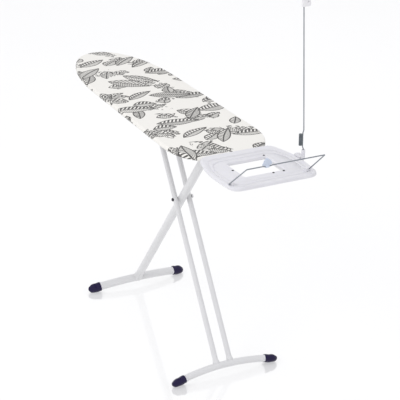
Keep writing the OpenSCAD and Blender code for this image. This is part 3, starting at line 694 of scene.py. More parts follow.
def finish_named(name):
    """The finish with this name, made once."""
    makers = {
        "powder": powder_coat,
        "moulding": moulded_white,
        "caps": cap_vinyl,
        "wire": lambda: drawn_wire("drawn_wire_grey", "#7f848c", "#a4a8ae", 0.36),
        # The coil's wire is the other wire's steel painted darker: painted shade of the shadow between its close turns
        "spring": lambda: drawn_wire("spring_wire_painted_shade", "#6d7378", "#8d9398", 0.42),
        "nylon": lambda: plain_moulding("nylon_black", "#141416", "#202023", 0.45),
        "bolt": lambda: plain_moulding("black_passivated_bolt", "#15131c", "#272433", 0.34),
        # The latch's pale blue-grey is partly the plastic's own tint and partly painted shade, darker and bluer than
        # the white moulding
        "latch": lambda: plain_moulding("acetal_blue_grey_painted_shade", "#bcc6d8", "#cdd5e2", 0.38),
        "clip": lambda: plain_moulding("polycarbonate_pale_grey", "#dcdbdd", "#e8e7e9", 0.34),
        "galvanised": galvanised,
        "zinc": zinc_plate,
        "felt": needle_felt,
        "cotton": printed_cotton,
    }
    if name not in MATERIALS:
        MATERIALS[name] = makers[name]()
    return MATERIALS[name]


def dress(nodes, finish):
    """Gives carried-over CAD nodes a finish."""
    for name in nodes:
        for slot in frame["nodes"][name].material_slots:
            slot.material = finish_named(finish)


# --- Cover and deck -------------------------------------------------------------------


def half_width(x, length, width, nose, tail):
    """Half width of the board at x from its nose.

    The nose's share is (1 - n squared) to the power 1/2.2 and the tail's (1 - t squared) to 1/3.5,
    where n and t fall from 1 at the ends to 0 where the sides begin. The sides widen by a twentieth.
    """
    n = np.clip(1 - x / nose, 0, 1)
    t = np.clip(1 - (length - x) / tail, 0, 1)
    return width / 2 * (0.945 + 0.055 * x / length) * (1 - n**2) ** (1 / 2.2) * (1 - t**2) ** (1 / 3.5)


def board_loop(inset, count):
    """The board's outline, drawn in by inset, as evenly spaced points from the nose and back to it."""
    s = bpy.context.scene.board_cover
    length, width = s.length - 2 * inset, s.width - 2 * inset
    a = np.linspace(0, math.pi / 2, 200)
    x = np.concatenate([s.nose * (1 - np.cos(a)), np.linspace(s.nose, length - s.tail, 80)[1:-1],
                        (length - s.tail * (1 - np.cos(a)))[::-1]])
    y = half_width(x, length, width, s.nose, s.tail)
    side = np.c_[x + TAIL_X - s.length + inset, y]
    loop = np.concatenate([side * [1, -1], side[::-1][1:-1]])
    run = np.concatenate([[0], np.cumsum(np.linalg.norm(np.diff(np.vstack([loop, loop[:1]]), axis=0), axis=1))])
    marks = run[-1] * np.arange(count) / count
    closed = np.vstack([loop, loop[:1]])
    return np.stack([np.interp(marks, run, closed[:, k]) for k in (0, 1)], axis=-1)


def outward_normals(loop):
    """Unit vectors that point out of a loop that runs anticlockwise."""
    ahead = unit(np.roll(loop, -1, axis=0) - np.roll(loop, 1, axis=0))
    return np.stack([ahead[:, 1], -ahead[:, 0]], axis=-1)


def cover_rings(count):
    """Rings of the cover from its middle line out over the edge, down, and in under the board.

    Each ring is the outline moved along its normal by an offset, at its own height. On top the rings
    run from the board's middle line to the outline. The hem's rings ripple by a sine of the gathers.
    """
    s = bpy.context.scene.board_cover
    loop = board_loop(0.0, count)
    normal = outward_normals(loop)
    spine_x = np.clip(loop[:, 0], TAIL_X - s.length + 0.55 * s.nose, TAIL_X - 0.6 * s.tail)
    spine = np.stack([spine_x, np.zeros(count)], axis=-1)
    top = SURFACE_Z
    depth = top - float(COVER_LOW[2])
    rings, cloth = [], []
    for f in np.linspace(0, 1, 34)[:-1]:
        flat = spine + (loop - normal * s.edge - spine) * f
        swell = 0.0006 * np.sin(flat[:, 0] * 31 + 1.3) * np.sin(flat[:, 1] * 27 + 0.4)
        crown = -0.0012 * f**6
        rings.append(np.c_[flat, top - 0.0006 + swell * (1 - f) + crown])
        cloth.append(flat)
    turn = np.linspace(0, math.pi / 2, 7)
    profile = [(-s.edge * (1 - math.sin(a)), top - 0.0012 - s.edge * (1 - math.cos(a)), s.edge * a) for a in turn]
    under = depth - 0.0012 - s.edge
    profile += [(0.0, top - 0.0012 - s.edge - under * k, s.edge * math.pi / 2 + under * k) for k in (0.35, 0.7)]
    flat_run = s.edge * math.pi / 2 + under
    profile += [(-0.0022, top - depth + 0.0006, flat_run + 0.002)]
    hem_marks = np.linspace(0.12, 1, 8)
    profile += [(-s.hem * k, top - depth + 0.0001, flat_run + s.hem * k) for k in hem_marks]
    phase = TAU * s.gathers * np.arange(count) / count
    slow = 1 + 0.5 * np.sin(phase / 7.3 + 0.6)
    for offset, z, run in profile:
        pull = max(0.0, -offset / s.hem - 0.1) if z < top - depth + 0.001 else 0.0
        side = 1.0 if z < top - 2 * s.edge else 0.0
        ripple = pull * 0.0011 * np.sin(phase) * slow
        pinch = 0.0005 * side * np.sin(phase) * slow + pull * 0.0016 * np.sin(phase * 0.5 + 1.1)
        flat = loop + normal * (offset + np.clip(pinch, -0.0012, 0.0003))[:, None]
        rings.append(np.c_[flat, np.clip(z + ripple + 0.0002 * side, top - depth, top)])
        cloth.append(loop + normal * (run - s.edge))
    return np.array(rings), np.array(cloth)


class BOARD_OT_cover(bpy.types.Operator):
    """Make the padded cover: foam-backed cotton drawn in under the deck's edge"""

    bl_idname = "ironing_board.cover"
    bl_label = "Cover"

    def execute(self, context):
        s = context.scene.board_cover
        rings, cloth = cover_rings(720)
        rows, cols, _ = rings.shape
        piece = build(
            "printed_cover", rings, grid_quads(rows, cols).tolist(), "board",
            finish_named("cotton"), uv=cloth.reshape(-1, 2),
        )
        shell = piece.modifiers.new("cloth thickness", "SOLIDIFY")
        shell.thickness = 0.0014
        shell.offset = -1.0
        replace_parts(piece, "cover", "cover_drawcord")
        cord_loop = board_loop(s.hem - 0.004, 480)
        cord = np.c_[cord_loop, np.full(len(cord_loop), float(COVER_LOW[2]) + 0.0035)]
        cord = np.vstack([cord, cord[:1]])
        rings = rings_along(cord, round_profile(0.0024, 8), (0, 0, 1))[:-1]
        faces = grid_quads(len(rings) + 1, 8) % (len(rings) * 8)
        build("hem_drawcord", rings, faces.tolist(), "board", finish_named("felt"))
        return {"FINISHED"}


class BOARD_OT_deck(bpy.types.Operator):
    """Make the deck: expanded metal mesh under the felt, with its rim and crossbars"""

    bl_idname = "ironing_board.deck"
    bl_label = "Deck"

    def execute(self, context):
        s = context.scene.board_cover
        low, high = corners("deck_sheet")
        strand, pitch_x, pitch_y = 0.0022, 0.020, 0.0095
        # Zigzag strands: each row's height is a triangle wave, and every second row is turned over
        x = np.arange(low[0] + 0.008, high[0] - 0.008, pitch_x / 2)
        rows = np.arange(-19, 20) * pitch_y
        wave = np.where(np.arange(len(x)) % 2 == 0, -1.0, 1.0) * (pitch_y / 2 - strand / 4)
        points, faces = [], []
        z0, z1 = float(low[2]), float(high[2])
        base = 0
        for k, y0 in enumerate(rows):
            y = y0 + wave * (1 if k % 2 == 0 else -1)
            inner = half_width(x - low[0], high[0] - low[0], s.width - 0.016, s.nose, s.tail) - 0.006
            keep = np.abs(y) < inner
            runs = np.split(np.arange(len(x)), np.where(np.diff(keep.astype(int)) != 0)[0] + 1)
            for run in (r for r in runs if keep[r[0]] and len(r) > 1):
                n = len(run)
                cross = np.array([[-strand / 2, z0], [strand / 2, z0], [strand / 2, z1], [-strand / 2, z1]])
                ring = np.empty((n, 4, 3))
                ring[:, :, 0] = x[run][:, None]
                ring[:, :, 1] = y[run][:, None] + cross[None, :, 0]
                ring[:, :, 2] = cross[None, :, 1]
                points.append(ring.reshape(-1, 3))
                faces += (grid_quads(n, 4) + base).tolist()
                faces += [[base, base + 1, base + 2, base + 3], [base + 4 * n - 1 - i for i in range(4)]]
                base += 4 * n
        piece = build(
            "deck_expanded_mesh", np.concatenate(points), faces, "board",
            finish_named("galvanised"), smooth=False,
        )
        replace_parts(piece, "deck_sheet")
        low, high = corners("felt_pad")
        z0, z1 = float(low[2]), float(high[2])
        layers = ((0.150, z0), (0.0040, z0), (0.0026, z0 + 0.0012), (0.0026, z1 - 0.0012), (0.0040, z1), (0.150, z1))
        loops = np.array([np.c_[board_loop(inset, 480), np.full(480, z)] for inset, z in layers])
        points, faces = closed_rings(loops)
        pad = build("felt_layer", points, faces, "board", finish_named("felt"))
        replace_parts(pad, "felt_pad")
        dress(["deck_rim", "crossbar_front", "crossbar_mid", "crossbar_rear", "crossbar_tail", "rail_left",
               "rail_right", "rail_hangers", "height_rack", "leg_bracket", "slider_bridge", "pivot_bush"],
              "galvanised")
        dress(["leg_pivot_pin", "arm_screws", "tray_screws", "slider_pins", "lever_pin", "lever_spring"], "zinc")
        dress(["tray_arm_left", "tray_arm_right", "height_lever", "cross_nut"], "powder")
        dress(["arm_spacers", "main_leg_lug", "slider_shoe_left", "slider_shoe_right"], "nylon")
        return {"FINISHED"}


# --- Iron rest ------------------------------------------------------------------------


def rest_loop(inset, board_side=None, outer_end=None):
    """The iron rest's outline drawn in by inset at its sides, and by its own amounts at the two ends.

    Its sides swell to their full width 170 mm out from the board, and its corners are soft.
    """
    x0 = float(TRAY_LOW[0]) + (inset if board_side is None else board_side)
    x1 = float(TRAY_HIGH[0]) - (inset if outer_end is None else outer_end)
    w, wide = float(TRAY_HIGH[1]) + 0.0013 - inset, float(TRAY_LOW[0]) + 0.170
    side = [[x0, w - 0.032], [wide - 0.070, w - 0.005], [wide, w], [x1, w - 0.010]]
    cuts = [0.028, 0.034, 0.034, 0.038]
    return soft_loop([[x, -y] for x, y in side] + side[::-1], cuts + cuts[::-1], 12)


def window_loop(grow):
    """The window's outline, grown outwards: a rectangle with rounded corners."""
    s = bpy.context.scene.board_rest
    x0 = TAIL_X + s.window_back - grow
    x1 = TAIL_X + s.window_back + s.window_length + grow
    w = s.window_width / 2 + grow
    return soft_loop([[x0, -w], [x1, -w], [x1, w], [x0, w]], [0.010 + grow * 0.8] * 4, 10)


class BOARD_OT_iron_rest(bpy.types.Operator):
    """Make the iron rest: a stepped moulding with a window, its lugs, bosses and studs"""

    bl_idname = "ironing_board.iron_rest"
    bl_label = "Iron rest"

    def execute(self, context):
        s = context.scene.board_rest
        rim = SURFACE_Z + RIM_RISE
        panel = rim - s.panel_drop
        centre = np.array([TAIL_X + s.window_back + s.window_length / 2, 0.0])
        count = 360
        # Each ring is (share of the way from the window's outline to the rest's, or an inset, and a height)
        wall = s.wall
        rings = []

        def at_window(grow, z):
            rings.append(np.c_[by_angle(window_loop(grow), centre, count), np.full(count, z)])

        def at_edge(inset, z, board_side=None, outer_end=None):
            loop = rest_loop(inset, board_side, outer_end)
            rings.append(np.c_[by_angle(loop, centre, count), np.full(count, z)])

        at_window(0.0, panel - 0.011)
        at_window(0.0, panel - 0.006)
        at_window(0.0, panel - 0.0016)
        at_window(0.0006, panel - 0.0004)
        at_window(0.0020, panel + 0.0003)
        at_window(0.0050, panel + 0.0003)
        at_window(0.0062, panel)
        at_window(0.0200, panel)
        # A groove round the sunk panel and a second one outside it, each about 3 mm wide
        for inset, z in ((0.0316, 0.0), (0.0302, -0.0013), (0.0284, -0.0013), (0.0266, 0.0014), (0.0250, 0.0016)):
            at_edge(inset, panel + z, inset + 0.032, inset + 0.013)
        for inset, z in ((0.0206, 0.0016), (0.0192, -0.0002), (0.0174, -0.0002), (0.0158, 0.0014), (0.0144, 0.0016)):
            at_edge(inset, panel + z, inset + 0.016, inset + 0.006)
        # The raised rim, rounded over into the skirt
        for inset, z in (
            (0.0105, 0.0026), (0.0090, 0.0030), (0.0060, 0.0030), (0.0034, 0.0026), (0.0016, 0.0014),
            (0.0005, -0.0006), (0.0000, -0.0034),
        ):
            at_edge(inset, panel + z)
        at_edge(0.0, rim - s.skirt + 0.0012)
        at_edge(0.0006, rim - s.skirt)
        at_edge(wall - 0.0004, rim - s.skirt)
        at_edge(wall, rim - s.skirt + 0.0012)
        at_edge(wall + 0.001, panel - wall - 0.002)
        at_edge(0.0150, panel - wall)
        at_edge(0.0380, panel - wall)
        at_window(0.0200, panel - wall)
        at_window(wall + 0.001, panel - wall - 0.001)
        at_window(wall, panel - 0.0105)
        at_window(wall * 0.5, panel - 0.011)
        rings = np.array(rings)
        faces = grid_quads(len(rings) + 1, count) % (len(rings) * count)
        moulding = build("rest_moulding", rings, faces.tolist(), "board", finish_named("moulding"))
        axis = joint_at("bail_swing")
        arm_low, arm_high = corners("tray_arm_right")
        hem_z, arm_y = float(arm_high[2]), float(arm_low[1] + arm_high[1]) / 2
        extras = []
        for side in (-1, 1):
            y0, y1 = sorted((axis[1] + side * 0.1335, axis[1] + side * 0.1445))
            low = [axis[0] - 0.009, y0, panel - 0.001]
            high = [axis[0] + 0.009, y1, axis[2] + 0.0072]
            extras.append(block("lug", low, high, 0.30, "board", "tray_plastic", finish_named("moulding")))
            for x in (TAIL_X + 0.044, TAIL_X + 0.212):
                boss = [(0.0035, 0.0), (0.0068, 0.0), (0.0071, 0.001), (0.0074, panel - wall - hem_z)]
                extras.append(turned("boss", boss, (x, side * arm_y, hem_z), (0, 0, 1), "board", "tray_plastic",
                                     finish_named("moulding")))
        rest = joined("iron_rest_moulding", [moulding] + extras)
        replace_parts(rest, "iron_rest_tray")
        low, high = corners("heat_studs")
        x0 = TAIL_X + s.window_back
        studs = [(-0.008, 0.072), (0.066, -s.window_width / 2 - 0.008), (s.window_length + 0.008, 0.026),
                 (s.window_length + 0.008, 0.065)]
        profile = [(0.0036, 0.0), (0.0040, 0.0004), (0.0040, 0.0009), (0.0032, 0.0015), (0.0012, 0.0016)]
        made = [turned("stud", profile, (x0 + x, y, panel), (0, 0, 1), "board", "black_plastic",
                       finish_named("nylon")) for x, y in studs]
        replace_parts(joined("window_studs", made), "heat_studs")
        return {"FINISHED"}


# --- Stand ----------------------------------------------------------------------------


def leg_axes(top, cross):
    """Down the leg, and square to it in the leg's own upright plane, from its pivot and its crossing."""
    down = unit(cross - top)
    return down, np.array([-down[2], 0.0, down[0]])


def foot_arc(top, down, y):
    """Points of a foot's centre line at the distances y across: an arc whose middle is raised."""
    s = bpy.context.scene.board_stand
    flat_half = s.foot_length / 2 - 0.026
    radius = (flat_half**2 + s.foot_rise**2) / (2 * s.foot_rise)
    reach = (s.foot_level - top[2]) / down[2]
    along = reach - s.foot_rise + radius - np.sqrt(radius**2 - np.asarray(y) ** 2)
    return top + along[:, None] * down + np.asarray(y)[:, None] * np.array([0.0, 1.0, 0.0])


def foot_pieces(prefix, top, down, body):
    """A foot: its arched oval tube, a pale collar and a vinyl cap at each end."""
    s = bpy.context.scene.board_stand
    bar_half = s.foot_length / 2 - 0.053
    square = np.array([-down[2], 0.0, down[0]])
    y = np.linspace(-bar_half, bar_half, 61)
    rings = rings_along(foot_arc(top, down, y), oval_profile(s.foot_depth, s.foot_height), down)
    points, faces = closed_rings(rings)
    bar = build(prefix + "_foot_tube", points, faces, body, finish_named("powder"))
    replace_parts(bar, prefix + "_foot_bar")
    collars = []
    for side, word in ((-1, "left"), (1, "right")):
        end = s.foot_length / 2
        # The cap's section swells just past its lip, then closes as a thumb: the root of 1 - t to the 2.4
        t = np.concatenate([[0, 0.004, 0.015, 0.04], np.linspace(0.1, 0.9, 17), [0.94, 0.97, 0.985, 0.995]])
        ys = side * (bar_half + t * (end - bar_half))
        grow = 1.20 * np.sqrt(1 - np.clip((t - 0.38) / 0.62, 0, 1) ** 2.4)
        grow[0] = 1.0
        grow[1] = 1.08
        path = foot_arc(top, down, ys)
        rings = rings_along(path, oval_profile(s.foot_depth, s.foot_height), down, grow)
        rings[:, :, 2] = np.where(rings[:, :, 2] < 0.004, np.maximum(rings[:, :, 2], 0.0) , rings[:, :, 2])
        lowest = rings[:, :, 2].min(axis=1, keepdims=True)
        sink = np.clip((t - 0.15) / 0.25, 0, 1) * np.clip((0.92 - t) / 0.12, 0, 1)
        # The sole: the lower side is drawn down to the floor and flattened there
        drawn = rings[:, :, 2] - sink[:, None] * np.clip(lowest, 0, 1)
        rings[:, :, 2] = np.maximum(drawn, 0.0)
        points, faces = closed_rings(rings)
        cap = build(f"{prefix}_cap_{word}_vinyl", points, faces, body, finish_named("caps"))
        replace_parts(cap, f"{prefix}_cap_{word}")
        yc = side * (bar_half - np.linspace(0.0075, 0.0003, 6))
        lip = rings_along(foot_arc(top, down, yc), oval_profile(s.foot_depth, s.foot_height), down,
                          [1.01, 1.05, 1.055, 1.055, 1.05, 1.02])
        points, faces = closed_rings(lip)
        collars.append(build("collar", points, faces, body, finish_named("moulding")))
    joined(prefix + "_foot_collars", collars)
    return square


def leg_tube(name, start, end, diameter, flare, body):
    """A straight tube with a rounded top. At its foot it spreads into a weld: the radius grows by
    flare times exp of minus the squared distance over 9 mm squared."""
    length = np.linalg.norm(end - start)
    marks = np.concatenate([[0, 0.0006, 0.0014], np.linspace(0.004, length - 0.03, 12),
                            np.linspace(length - 0.026, length, 14)])
    path = start + unit(end - start) * marks[:, None]
    swell = 1 + flare / (diameter / 2) * np.exp(-(((length - marks) / 0.009 - 1.6).clip(0)) ** 2)
    swell[:3] = (0.90, 0.96, 0.99)
    points, faces = closed_rings(rings_along(path, round_profile(diameter, 40), (0, 1, 0), swell))
    return build(name, points, faces, body, finish_named("powder"))


class BOARD_OT_main_leg(bpy.types.Operator):
    """Make the main leg: one wide tube welded to its arched foot"""

    bl_idname = "ironing_board.main_leg"
    bl_label = "Main leg"

    def execute(self, context):
        s = context.scene.board_stand
        top, cross = joint_at("leg_fold"), joint_at("cross_pivot")
        down, _ = leg_axes(top, cross)
        middle = foot_arc(top, down, np.array([0.0]))[0]
        tube = leg_tube("main_leg_wide_tube", top + down * 0.030, middle, s.main_tube, 0.003, "main_leg")
        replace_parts(tube, "main_leg_tube")
        foot_pieces("main", top, down, "main_leg")
        return {"FINISHED"}


class BOARD_OT_twin_leg(bpy.types.Operator):
    """Make the twin leg: two narrow tubes welded to their arched foot, and the crossing bolt"""

    bl_idname = "ironing_board.twin_leg"
    bl_label = "Twin leg"

    def execute(self, context):
        s = context.scene.board_stand
        top, cross = joint_at("slider_tilt"), joint_at("cross_pivot")
        down, _ = leg_axes(top, cross)
        low, high = corners("twin_tube_right")
        y = float(low[1] + high[1]) / 2
        for side, word in ((-1, "left"), (1, "right")):
            shift = np.array([0.0, side * y, 0.0])
            foot = foot_arc(top, down, np.array([side * y]))[0]
            tube = leg_tube(f"twin_narrow_tube_{word}", top + shift - down * 0.013, foot, s.twin_tube, 0.003,
                            "twin_leg")
            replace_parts(tube, f"twin_tube_{word}")
        foot_pieces("twin", top, down, "twin_leg")
        low, high = corners("cross_bolt")
        outer = y + s.twin_tube / 2
        head = [(0.004, outer - 0.002), (0.0062, outer + 0.0002), (0.0065, outer + 0.0012), (0.0063, outer + 0.0034),
                (0.0052, outer + 0.0047), (0.0030, outer + 0.0053), (0.0010, outer + 0.0055)]
        shank = [(0.0049, -float(low[1]) - 0.008), (0.0049, -float(high[1]) + 0.001), (0.0038, -float(high[1]))]
        bolt = turned("bolt", head, cross, (0, -1, 0), "twin_leg", "bolt_cap", finish_named("bolt"))
        rod = turned("rod", shank, cross, (0, -1, 0), "twin_leg", "bolt_cap", finish_named("bolt"))
        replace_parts(joined("crossing_bolt", [bolt, rod]), "cross_bolt")
        inner = s.main_tube / 2 + 0.00025
        ring = [(0.0052, 0.0), (0.0070, 0.0), (0.0074, 0.0004), (0.0074, 0.0016), (0.0070, 0.002), (0.0052, 0.002)]
        washers = [turned("washer", ring, cross + np.array([0, side * inner, 0]), (0, side, 0), "twin_leg",
                          "clip_plastic", finish_named("clip")) for side in (-1, 1)]
        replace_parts(joined("crossing_washers", washers), "pivot_washers")
        return {"FINISHED"}


class BOARD_OT_lever(bpy.types.Operator):
    """Make the grip of the height lever under the board's edge"""

    bl_idname = "ironing_board.lever_grip"
    bl_label = "Lever grip"

    def execute(self, context):
        low, high = corners("lever_grip")
        centre = (low + high) / 2
        y = np.linspace(low[1], high[1], 30)
        t = (y - low[1]) / (high[1] - low[1])
        # Five finger rounds: the section breathes by a cosine and closes at both ends as a quarter circle
        size = (1 - 0.07 * (1 + np.cos(TAU * 4 * t)) / 2) * np.sqrt(1 - np.abs(2 * t - 1) ** 7 * 0.92)
        path = np.c_[np.full(30, centre[0]), y, np.full(30, centre[2])]
        profile = oval_profile(float(high[2] - low[2]), float(high[0] - low[0]), 36)
        points, faces = closed_rings(rings_along(path, profile, (0, 0, 1), size))
        grip = build("lever_ribbed_grip", points, faces, "height_lever", finish_named("nylon"))
        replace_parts(grip, "lever_grip")
        return {"FINISHED"}


# --- Bail and cord mast ---------------------------------------------------------------


def in_bail(points):
    """Points given as (along the arm, across, square to the arm) moved to where the bail stands."""
    s = bpy.context.scene.board_wire
    axis = joint_at("bail_swing")
    c, n = math.cos(s.bail_lean), math.sin(s.bail_lean)
    points = np.asarray(points, dtype=float)
    return axis + np.stack([points[:, 0] * c - points[:, 2] * n, points[:, 1],
                            points[:, 0] * n + points[:, 2] * c], axis=-1)


class BOARD_OT_bail(bpy.types.Operator):
    """Make the wire bail with its bearing plugs and its latch tongue"""

    bl_idname = "ironing_board.bail"
    bl_label = "Bail"

    def execute(self, context):
        s = context.scene.board_wire
        b, t, arm, mid, deep = s.bail_half, s.bail_top, s.bail_arm, s.notch_place, s.notch_depth
        route = [[0, -0.136, 0], [0, -b, 0], [arm, -t, 0], [arm, mid - 0.017, 0], [arm - deep, mid - 0.011, 0],
                 [arm - deep, mid + 0.011, 0], [arm, mid + 0.017, 0], [arm, t, 0], [0, b, 0], [0, 0.136, 0]]
        c, n = math.cos(s.bail_lean), math.sin(s.bail_lean)
        path = in_bail(turned_corners(route, 0.004))
        wire = wire_piece("bail_bent_wire", path, s.wire, (-n, 0, c), "bail", finish_named("wire"))
        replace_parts(wire, "bail_wire")
        axis = joint_at("bail_swing")
        plug = [(0.0022, 0.134), (0.0037, 0.134), (0.0040, 0.1345), (0.0040, 0.1435), (0.0037, 0.144), (0.0022, 0.144)]
        plugs = [turned("plug", plug, axis, (0, side, 0), "bail", "grey_wire", finish_named("wire"))
                 for side in (-1, 1)]
        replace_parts(joined("bail_bearing_plugs", plugs), "bail_plugs")

        hub = joint_at("latch_turn")
        tilt = math.radians(10)
        lean = np.array([-math.sin(tilt), 0.0, math.cos(tilt)])
        outline = soft_loop([[-0.0065, 0.002], [0.0065, 0.002], [0.018, 0.007], [0.016, 0.014], [0.003, 0.026],
                             [-0.003, 0.026], [-0.018, 0.006]], [0.001, 0.001, 0.002, 0.003, 0.002, 0.002, 0.002])
        pressed = soft_loop([[-0.010, 0.009], [0.011, 0.009], [0.0105, 0.0125], [0.001, 0.020], [-0.002, 0.020]],
                            [0.0015, 0.0015, 0.0015, 0.002, 0.002])
        side_axis = np.array([0.0, 1.0, 0.0])
        face = np.cross(side_axis, lean)

        def place(p):
            return hub + p[:, :1] * side_axis + p[:, 1:2] * lean + p[:, 2:] * face

        plate = flat_piece("plate", [outline], 0.003, 0.0007, place, "bail_latch",
                           finish_named("latch"))
        raised = flat_piece("raised", [pressed], 0.0042, 0.0006, place, "bail_latch",
                            finish_named("latch"))
        barrel = [(0.0021, -0.0065), (0.0040, -0.0065), (0.0045, -0.0060), (0.0045, 0.0060), (0.0040, 0.0065),
                  (0.0021, 0.0065)]
        sleeve = turned("sleeve", barrel, hub, (0, 1, 0), "bail_latch", "latch_plastic", finish_named("latch"))
        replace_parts(joined("latch_tongue", [plate, raised, sleeve]), "bail_latch")
        return {"FINISHED"}


class BOARD_OT_mast(bpy.types.Operator):
    """Make the cord mast: its clamp and socket, the wire with its coil spring, and the cord clip"""

    bl_idname = "ironing_board.mast"
    bl_label = "Cord mast"

    def execute(self, context):
        s = context.scene.board_wire
        foot = joint_at("mast_swivel")
        moulding = finish_named("moulding")
        low, high = corners("mast_clamp")
        rim = SURFACE_Z + RIM_RISE
        edge = float(TRAY_HIGH[1])
        x0, x1 = foot[0] - 0.022, foot[0] + 0.014
        skirt_low = float(low[2])
        body = ("board", "tray_plastic", moulding)
        parts = [
            block("wall", [x0, edge + 0.0010, skirt_low], [x1, edge + 0.0145, rim + 0.006], 0.22, *body),
            block("hook", [x0, edge - 0.006, rim], [x1, edge + 0.010, rim + 0.006], 0.25, *body),
            block("toe", [x0, edge - 0.012, skirt_low], [x1, edge + 0.010, skirt_low + 0.0048], 0.25, *body),
        ]
        top = float(high[2]) - SURFACE_Z
        column = [(0.0031, 0.002), (0.0031, top), (0.0052, top), (0.0061, top - 0.0006), (0.0065, top - 0.0016),
                  (0.0065, 0.006), (0.0063, 0.0), (0.0056, -0.005), (0.0031, -0.006), (0.0031, 0.0)]
        parts.append(turned("column", column, (foot[0], foot[1], SURFACE_Z), (0, 0, 1), *body))
        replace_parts(joined("mast_clamp_moulding", parts), "mast_clamp")

        wire = finish_named("wire")
        spring_low, spring_high = corners("mast_spring")
        coil = (spring_low + spring_high) / 2
        r = (s.coil - s.wire) / 2
        out = unit([coil[0] - foot[0], coil[1] - foot[1], 0.0])
        near = np.array([coil[0], coil[1], 0.0]) - out * r
        z0, z1 = float(spring_low[2]), float(spring_high[2])
        # The coil's helix starts and ends on the side nearest the mast
        start = math.atan2(-out[1], -out[0])
        a = np.linspace(0, TAU * s.coil_turns, s.coil_turns * 28)
        rise = z0 + s.wire / 2 + (z1 - z0 - s.wire) * a / a[-1]
        helix = np.c_[coil[0] + r * np.cos(start + a), coil[1] + r * np.sin(start + a), rise]
        spring = wire_piece("mast_coil_spring", helix, s.wire * 0.96, (0, 0, 1), "mast_foot",
                            finish_named("spring"), sides=10, step=1.0)
        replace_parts(spring, "mast_spring")
        socket_top = SURFACE_Z + 0.029
        lower = turned_corners([[foot[0], foot[1], SURFACE_Z + 0.001], [foot[0], foot[1], socket_top + 0.003],
                                [near[0], near[1], z0 - 0.001], helix[0] + [0, 0, 0.0005]], 0.0012)
        stub = wire_piece("mast_lower_wire", lower, s.wire, (out[1], -out[0], 0), "mast_foot", wire,
                          step=0.008)
        sleeve = [(0.0019, 0.0), (0.0030, 0.0), (0.0030, 0.0265), (0.0026, 0.0287), (0.0019, 0.0287)]
        sleeve = turned("sleeve", sleeve, (foot[0], foot[1], SURFACE_Z + 0.0003), (0, 0, 1), "mast_foot",
                        "grey_wire", wire)
        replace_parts(joined("mast_lower_leg", [stub, sleeve]), "mast_stub")

        lean = MAST_LEAN
        base_z = z1
        run = lambda h: [foot[0] - h * math.sin(lean), foot[1], base_z + h * math.cos(lean)]
        length = (SURFACE_Z + CLIP_RISE - base_z) / math.cos(lean)
        upper = turned_corners([helix[-1], [near[0], near[1], z1 + 0.003], run(0.012), run(0.04),
                                run(length + 0.020)], 0.0025)
        mast = wire_piece("mast_upper_wire", upper, s.wire, (0.64, -0.76, 0), "mast", wire, step=0.03)
        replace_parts(mast, "mast_wire")

        w, h, hole = 0.033, 0.029, 0.004
        bore = w - 0.020
        edge_loop = soft_loop([[-0.009, 0], [w - 0.009, 0], [w - 0.009, h / 2 - 0.002], [bore + 0.0045, h / 2 - 0.002]],
                              [0.004, 0.006, 0.0014, 0.0008], 5)[: 4 * 5]
        a = np.linspace(-0.42, -TAU + 0.42, 28)
        ring = np.c_[bore + hole * np.cos(a), h / 2 + hole * np.sin(a)]
        rest = soft_loop([[bore + 0.0045, h / 2 + 0.002], [w - 0.009, h / 2 + 0.002], [w - 0.009, h - 0.004],
                          [w / 2 - 0.002, h], [-0.009, h - 0.008]], [0.0008, 0.0014, 0.004, 0.005, 0.005], 5)
        outline = np.concatenate([edge_loop, ring, rest])
        start = np.array(run(length))
        across, up = np.array([0.0, 1.0, 0.0]), np.array([-math.sin(lean), 0.0, math.cos(lean)])
        through = np.cross(across, up)
        place = lambda p: start + p[:, :1] * across + p[:, 1:2] * up + p[:, 2:] * through
        clip = flat_piece("cord_clip_moulding", [outline], 0.009, 0.0012, place, "mast",
                          finish_named("clip"))
        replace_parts(clip, "cord_clip")
        return {"FINISHED"}


# --- Stage ----------------------------------------------------------------------------


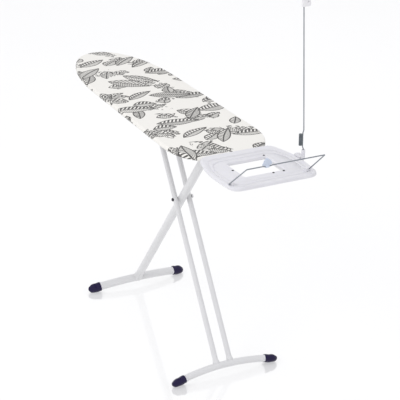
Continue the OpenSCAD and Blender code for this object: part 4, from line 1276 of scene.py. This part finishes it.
class BOARD_OT_stage(bpy.types.Operator):
    """Set the pale floor, the soft studio lights and the camera"""

    bl_idname = "ironing_board.stage"
    bl_label = "Stage"

    def execute(self, context):
        scene = context.scene
        size, steps = 14.0, 3
        line = np.linspace(-size, size, steps)
        x, y = np.meshgrid(line, line, indexing="ij")
        points = np.c_[x.ravel(), y.ravel(), np.full(steps * steps, -0.0005)]
        mesh = bpy.data.meshes.new("floor")
        mesh.from_pydata(points.tolist(), [], grid_quads(steps, steps, wrap=False)[:, ::-1].tolist())
        mesh.materials.append(floor_panel())
        floor = bpy.data.objects.new("floor", mesh)
        scene.collection.objects.link(floor)

        world = bpy.data.worlds.new("studio")
        world.use_nodes = True
        world.node_tree.nodes["Background"].inputs["Color"].default_value = linear("#fdfdff")
        world.node_tree.nodes["Background"].inputs["Strength"].default_value = 0.88
        scene.world = world
        scene.view_settings.view_transform = "Standard"
        for name, place, aim, width, power in (
            ("key", (0.6, -3.4, 3.4), (0.0, 0.0, 0.7), 1.8, 46.0),
            ("fill", (3.4, -1.0, 2.6), (0.0, 0.0, 0.6), 1.8, 12.0),
            ("back", (-2.6, 2.2, 3.2), (0.0, 0.0, 0.8), 2.2, 16.0),
        ):
            light = bpy.data.lights.new(name, "AREA")
            light.energy = power
            light.size = width
            lamp = bpy.data.objects.new(name, light)
            lamp.location = place
            # The glossy floor shows no lamps
            lamp.visible_glossy = False
            lamp.rotation_euler = (Vector(aim) - Vector(place)).to_track_quat("-Z", "Y").to_euler()
            scene.collection.objects.link(lamp)

        lens = bpy.data.cameras.new("camera")
        lens.sensor_width = 36.0
        lens.lens = 113.6
        lens.clip_end = 50.0
        camera = bpy.data.objects.new("camera", lens)
        camera.location = (TAIL_X + 3.5684, -1.8889, SURFACE_Z + 1.5983)
        yaw, pitch = math.radians(153.79), math.radians(23.755)
        ahead = Vector((math.cos(pitch) * math.cos(yaw), math.cos(pitch) * math.sin(yaw), -math.sin(pitch)))
        camera.rotation_euler = ahead.to_track_quat("-Z", "Y").to_euler()
        scene.collection.objects.link(camera)
        scene.camera = camera
        return {"FINISHED"}


STEPS = (
    BOARD_OT_stage,
    BOARD_OT_cover,
    BOARD_OT_deck,
    BOARD_OT_iron_rest,
    BOARD_OT_main_leg,
    BOARD_OT_twin_leg,
    BOARD_OT_lever,
    BOARD_OT_bail,
    BOARD_OT_mast,
)


class BOARD_PT_panel(bpy.types.Panel):
    """Lists the pieces of the ironing board"""

    bl_idname = "BOARD_PT_panel"
    bl_label = "Ironing board"
    bl_space_type = "VIEW_3D"
    bl_region_type = "UI"
    bl_category = "Ironing board"

    def draw(self, context):
        for step in STEPS:
            self.layout.operator(step.bl_idname)


GROUPS = {
    "board_cover": CoverSizes,
    "board_rest": RestSizes,
    "board_stand": StandSizes,
    "board_wire": WireSizes,
}
CLASSES = (*GROUPS.values(), *STEPS, BOARD_PT_panel)


def register():
    """Registers the classes and gives the scene its groups of sizes."""
    for made in CLASSES:
        bpy.utils.register_class(made)
    for name, group in GROUPS.items():
        setattr(bpy.types.Scene, name, PointerProperty(type=group))


def unregister():
    """Takes the groups of sizes and the classes away again."""
    for name in GROUPS:
        delattr(bpy.types.Scene, name)
    for made in reversed(CLASSES):
        bpy.utils.unregister_class(made)


def main():
    """Builds the whole board."""
    register()
    for step in STEPS:
        area, name = step.bl_idname.split(".")
        getattr(getattr(bpy.ops, area), name)()


if __name__ == "__main__":
    main()
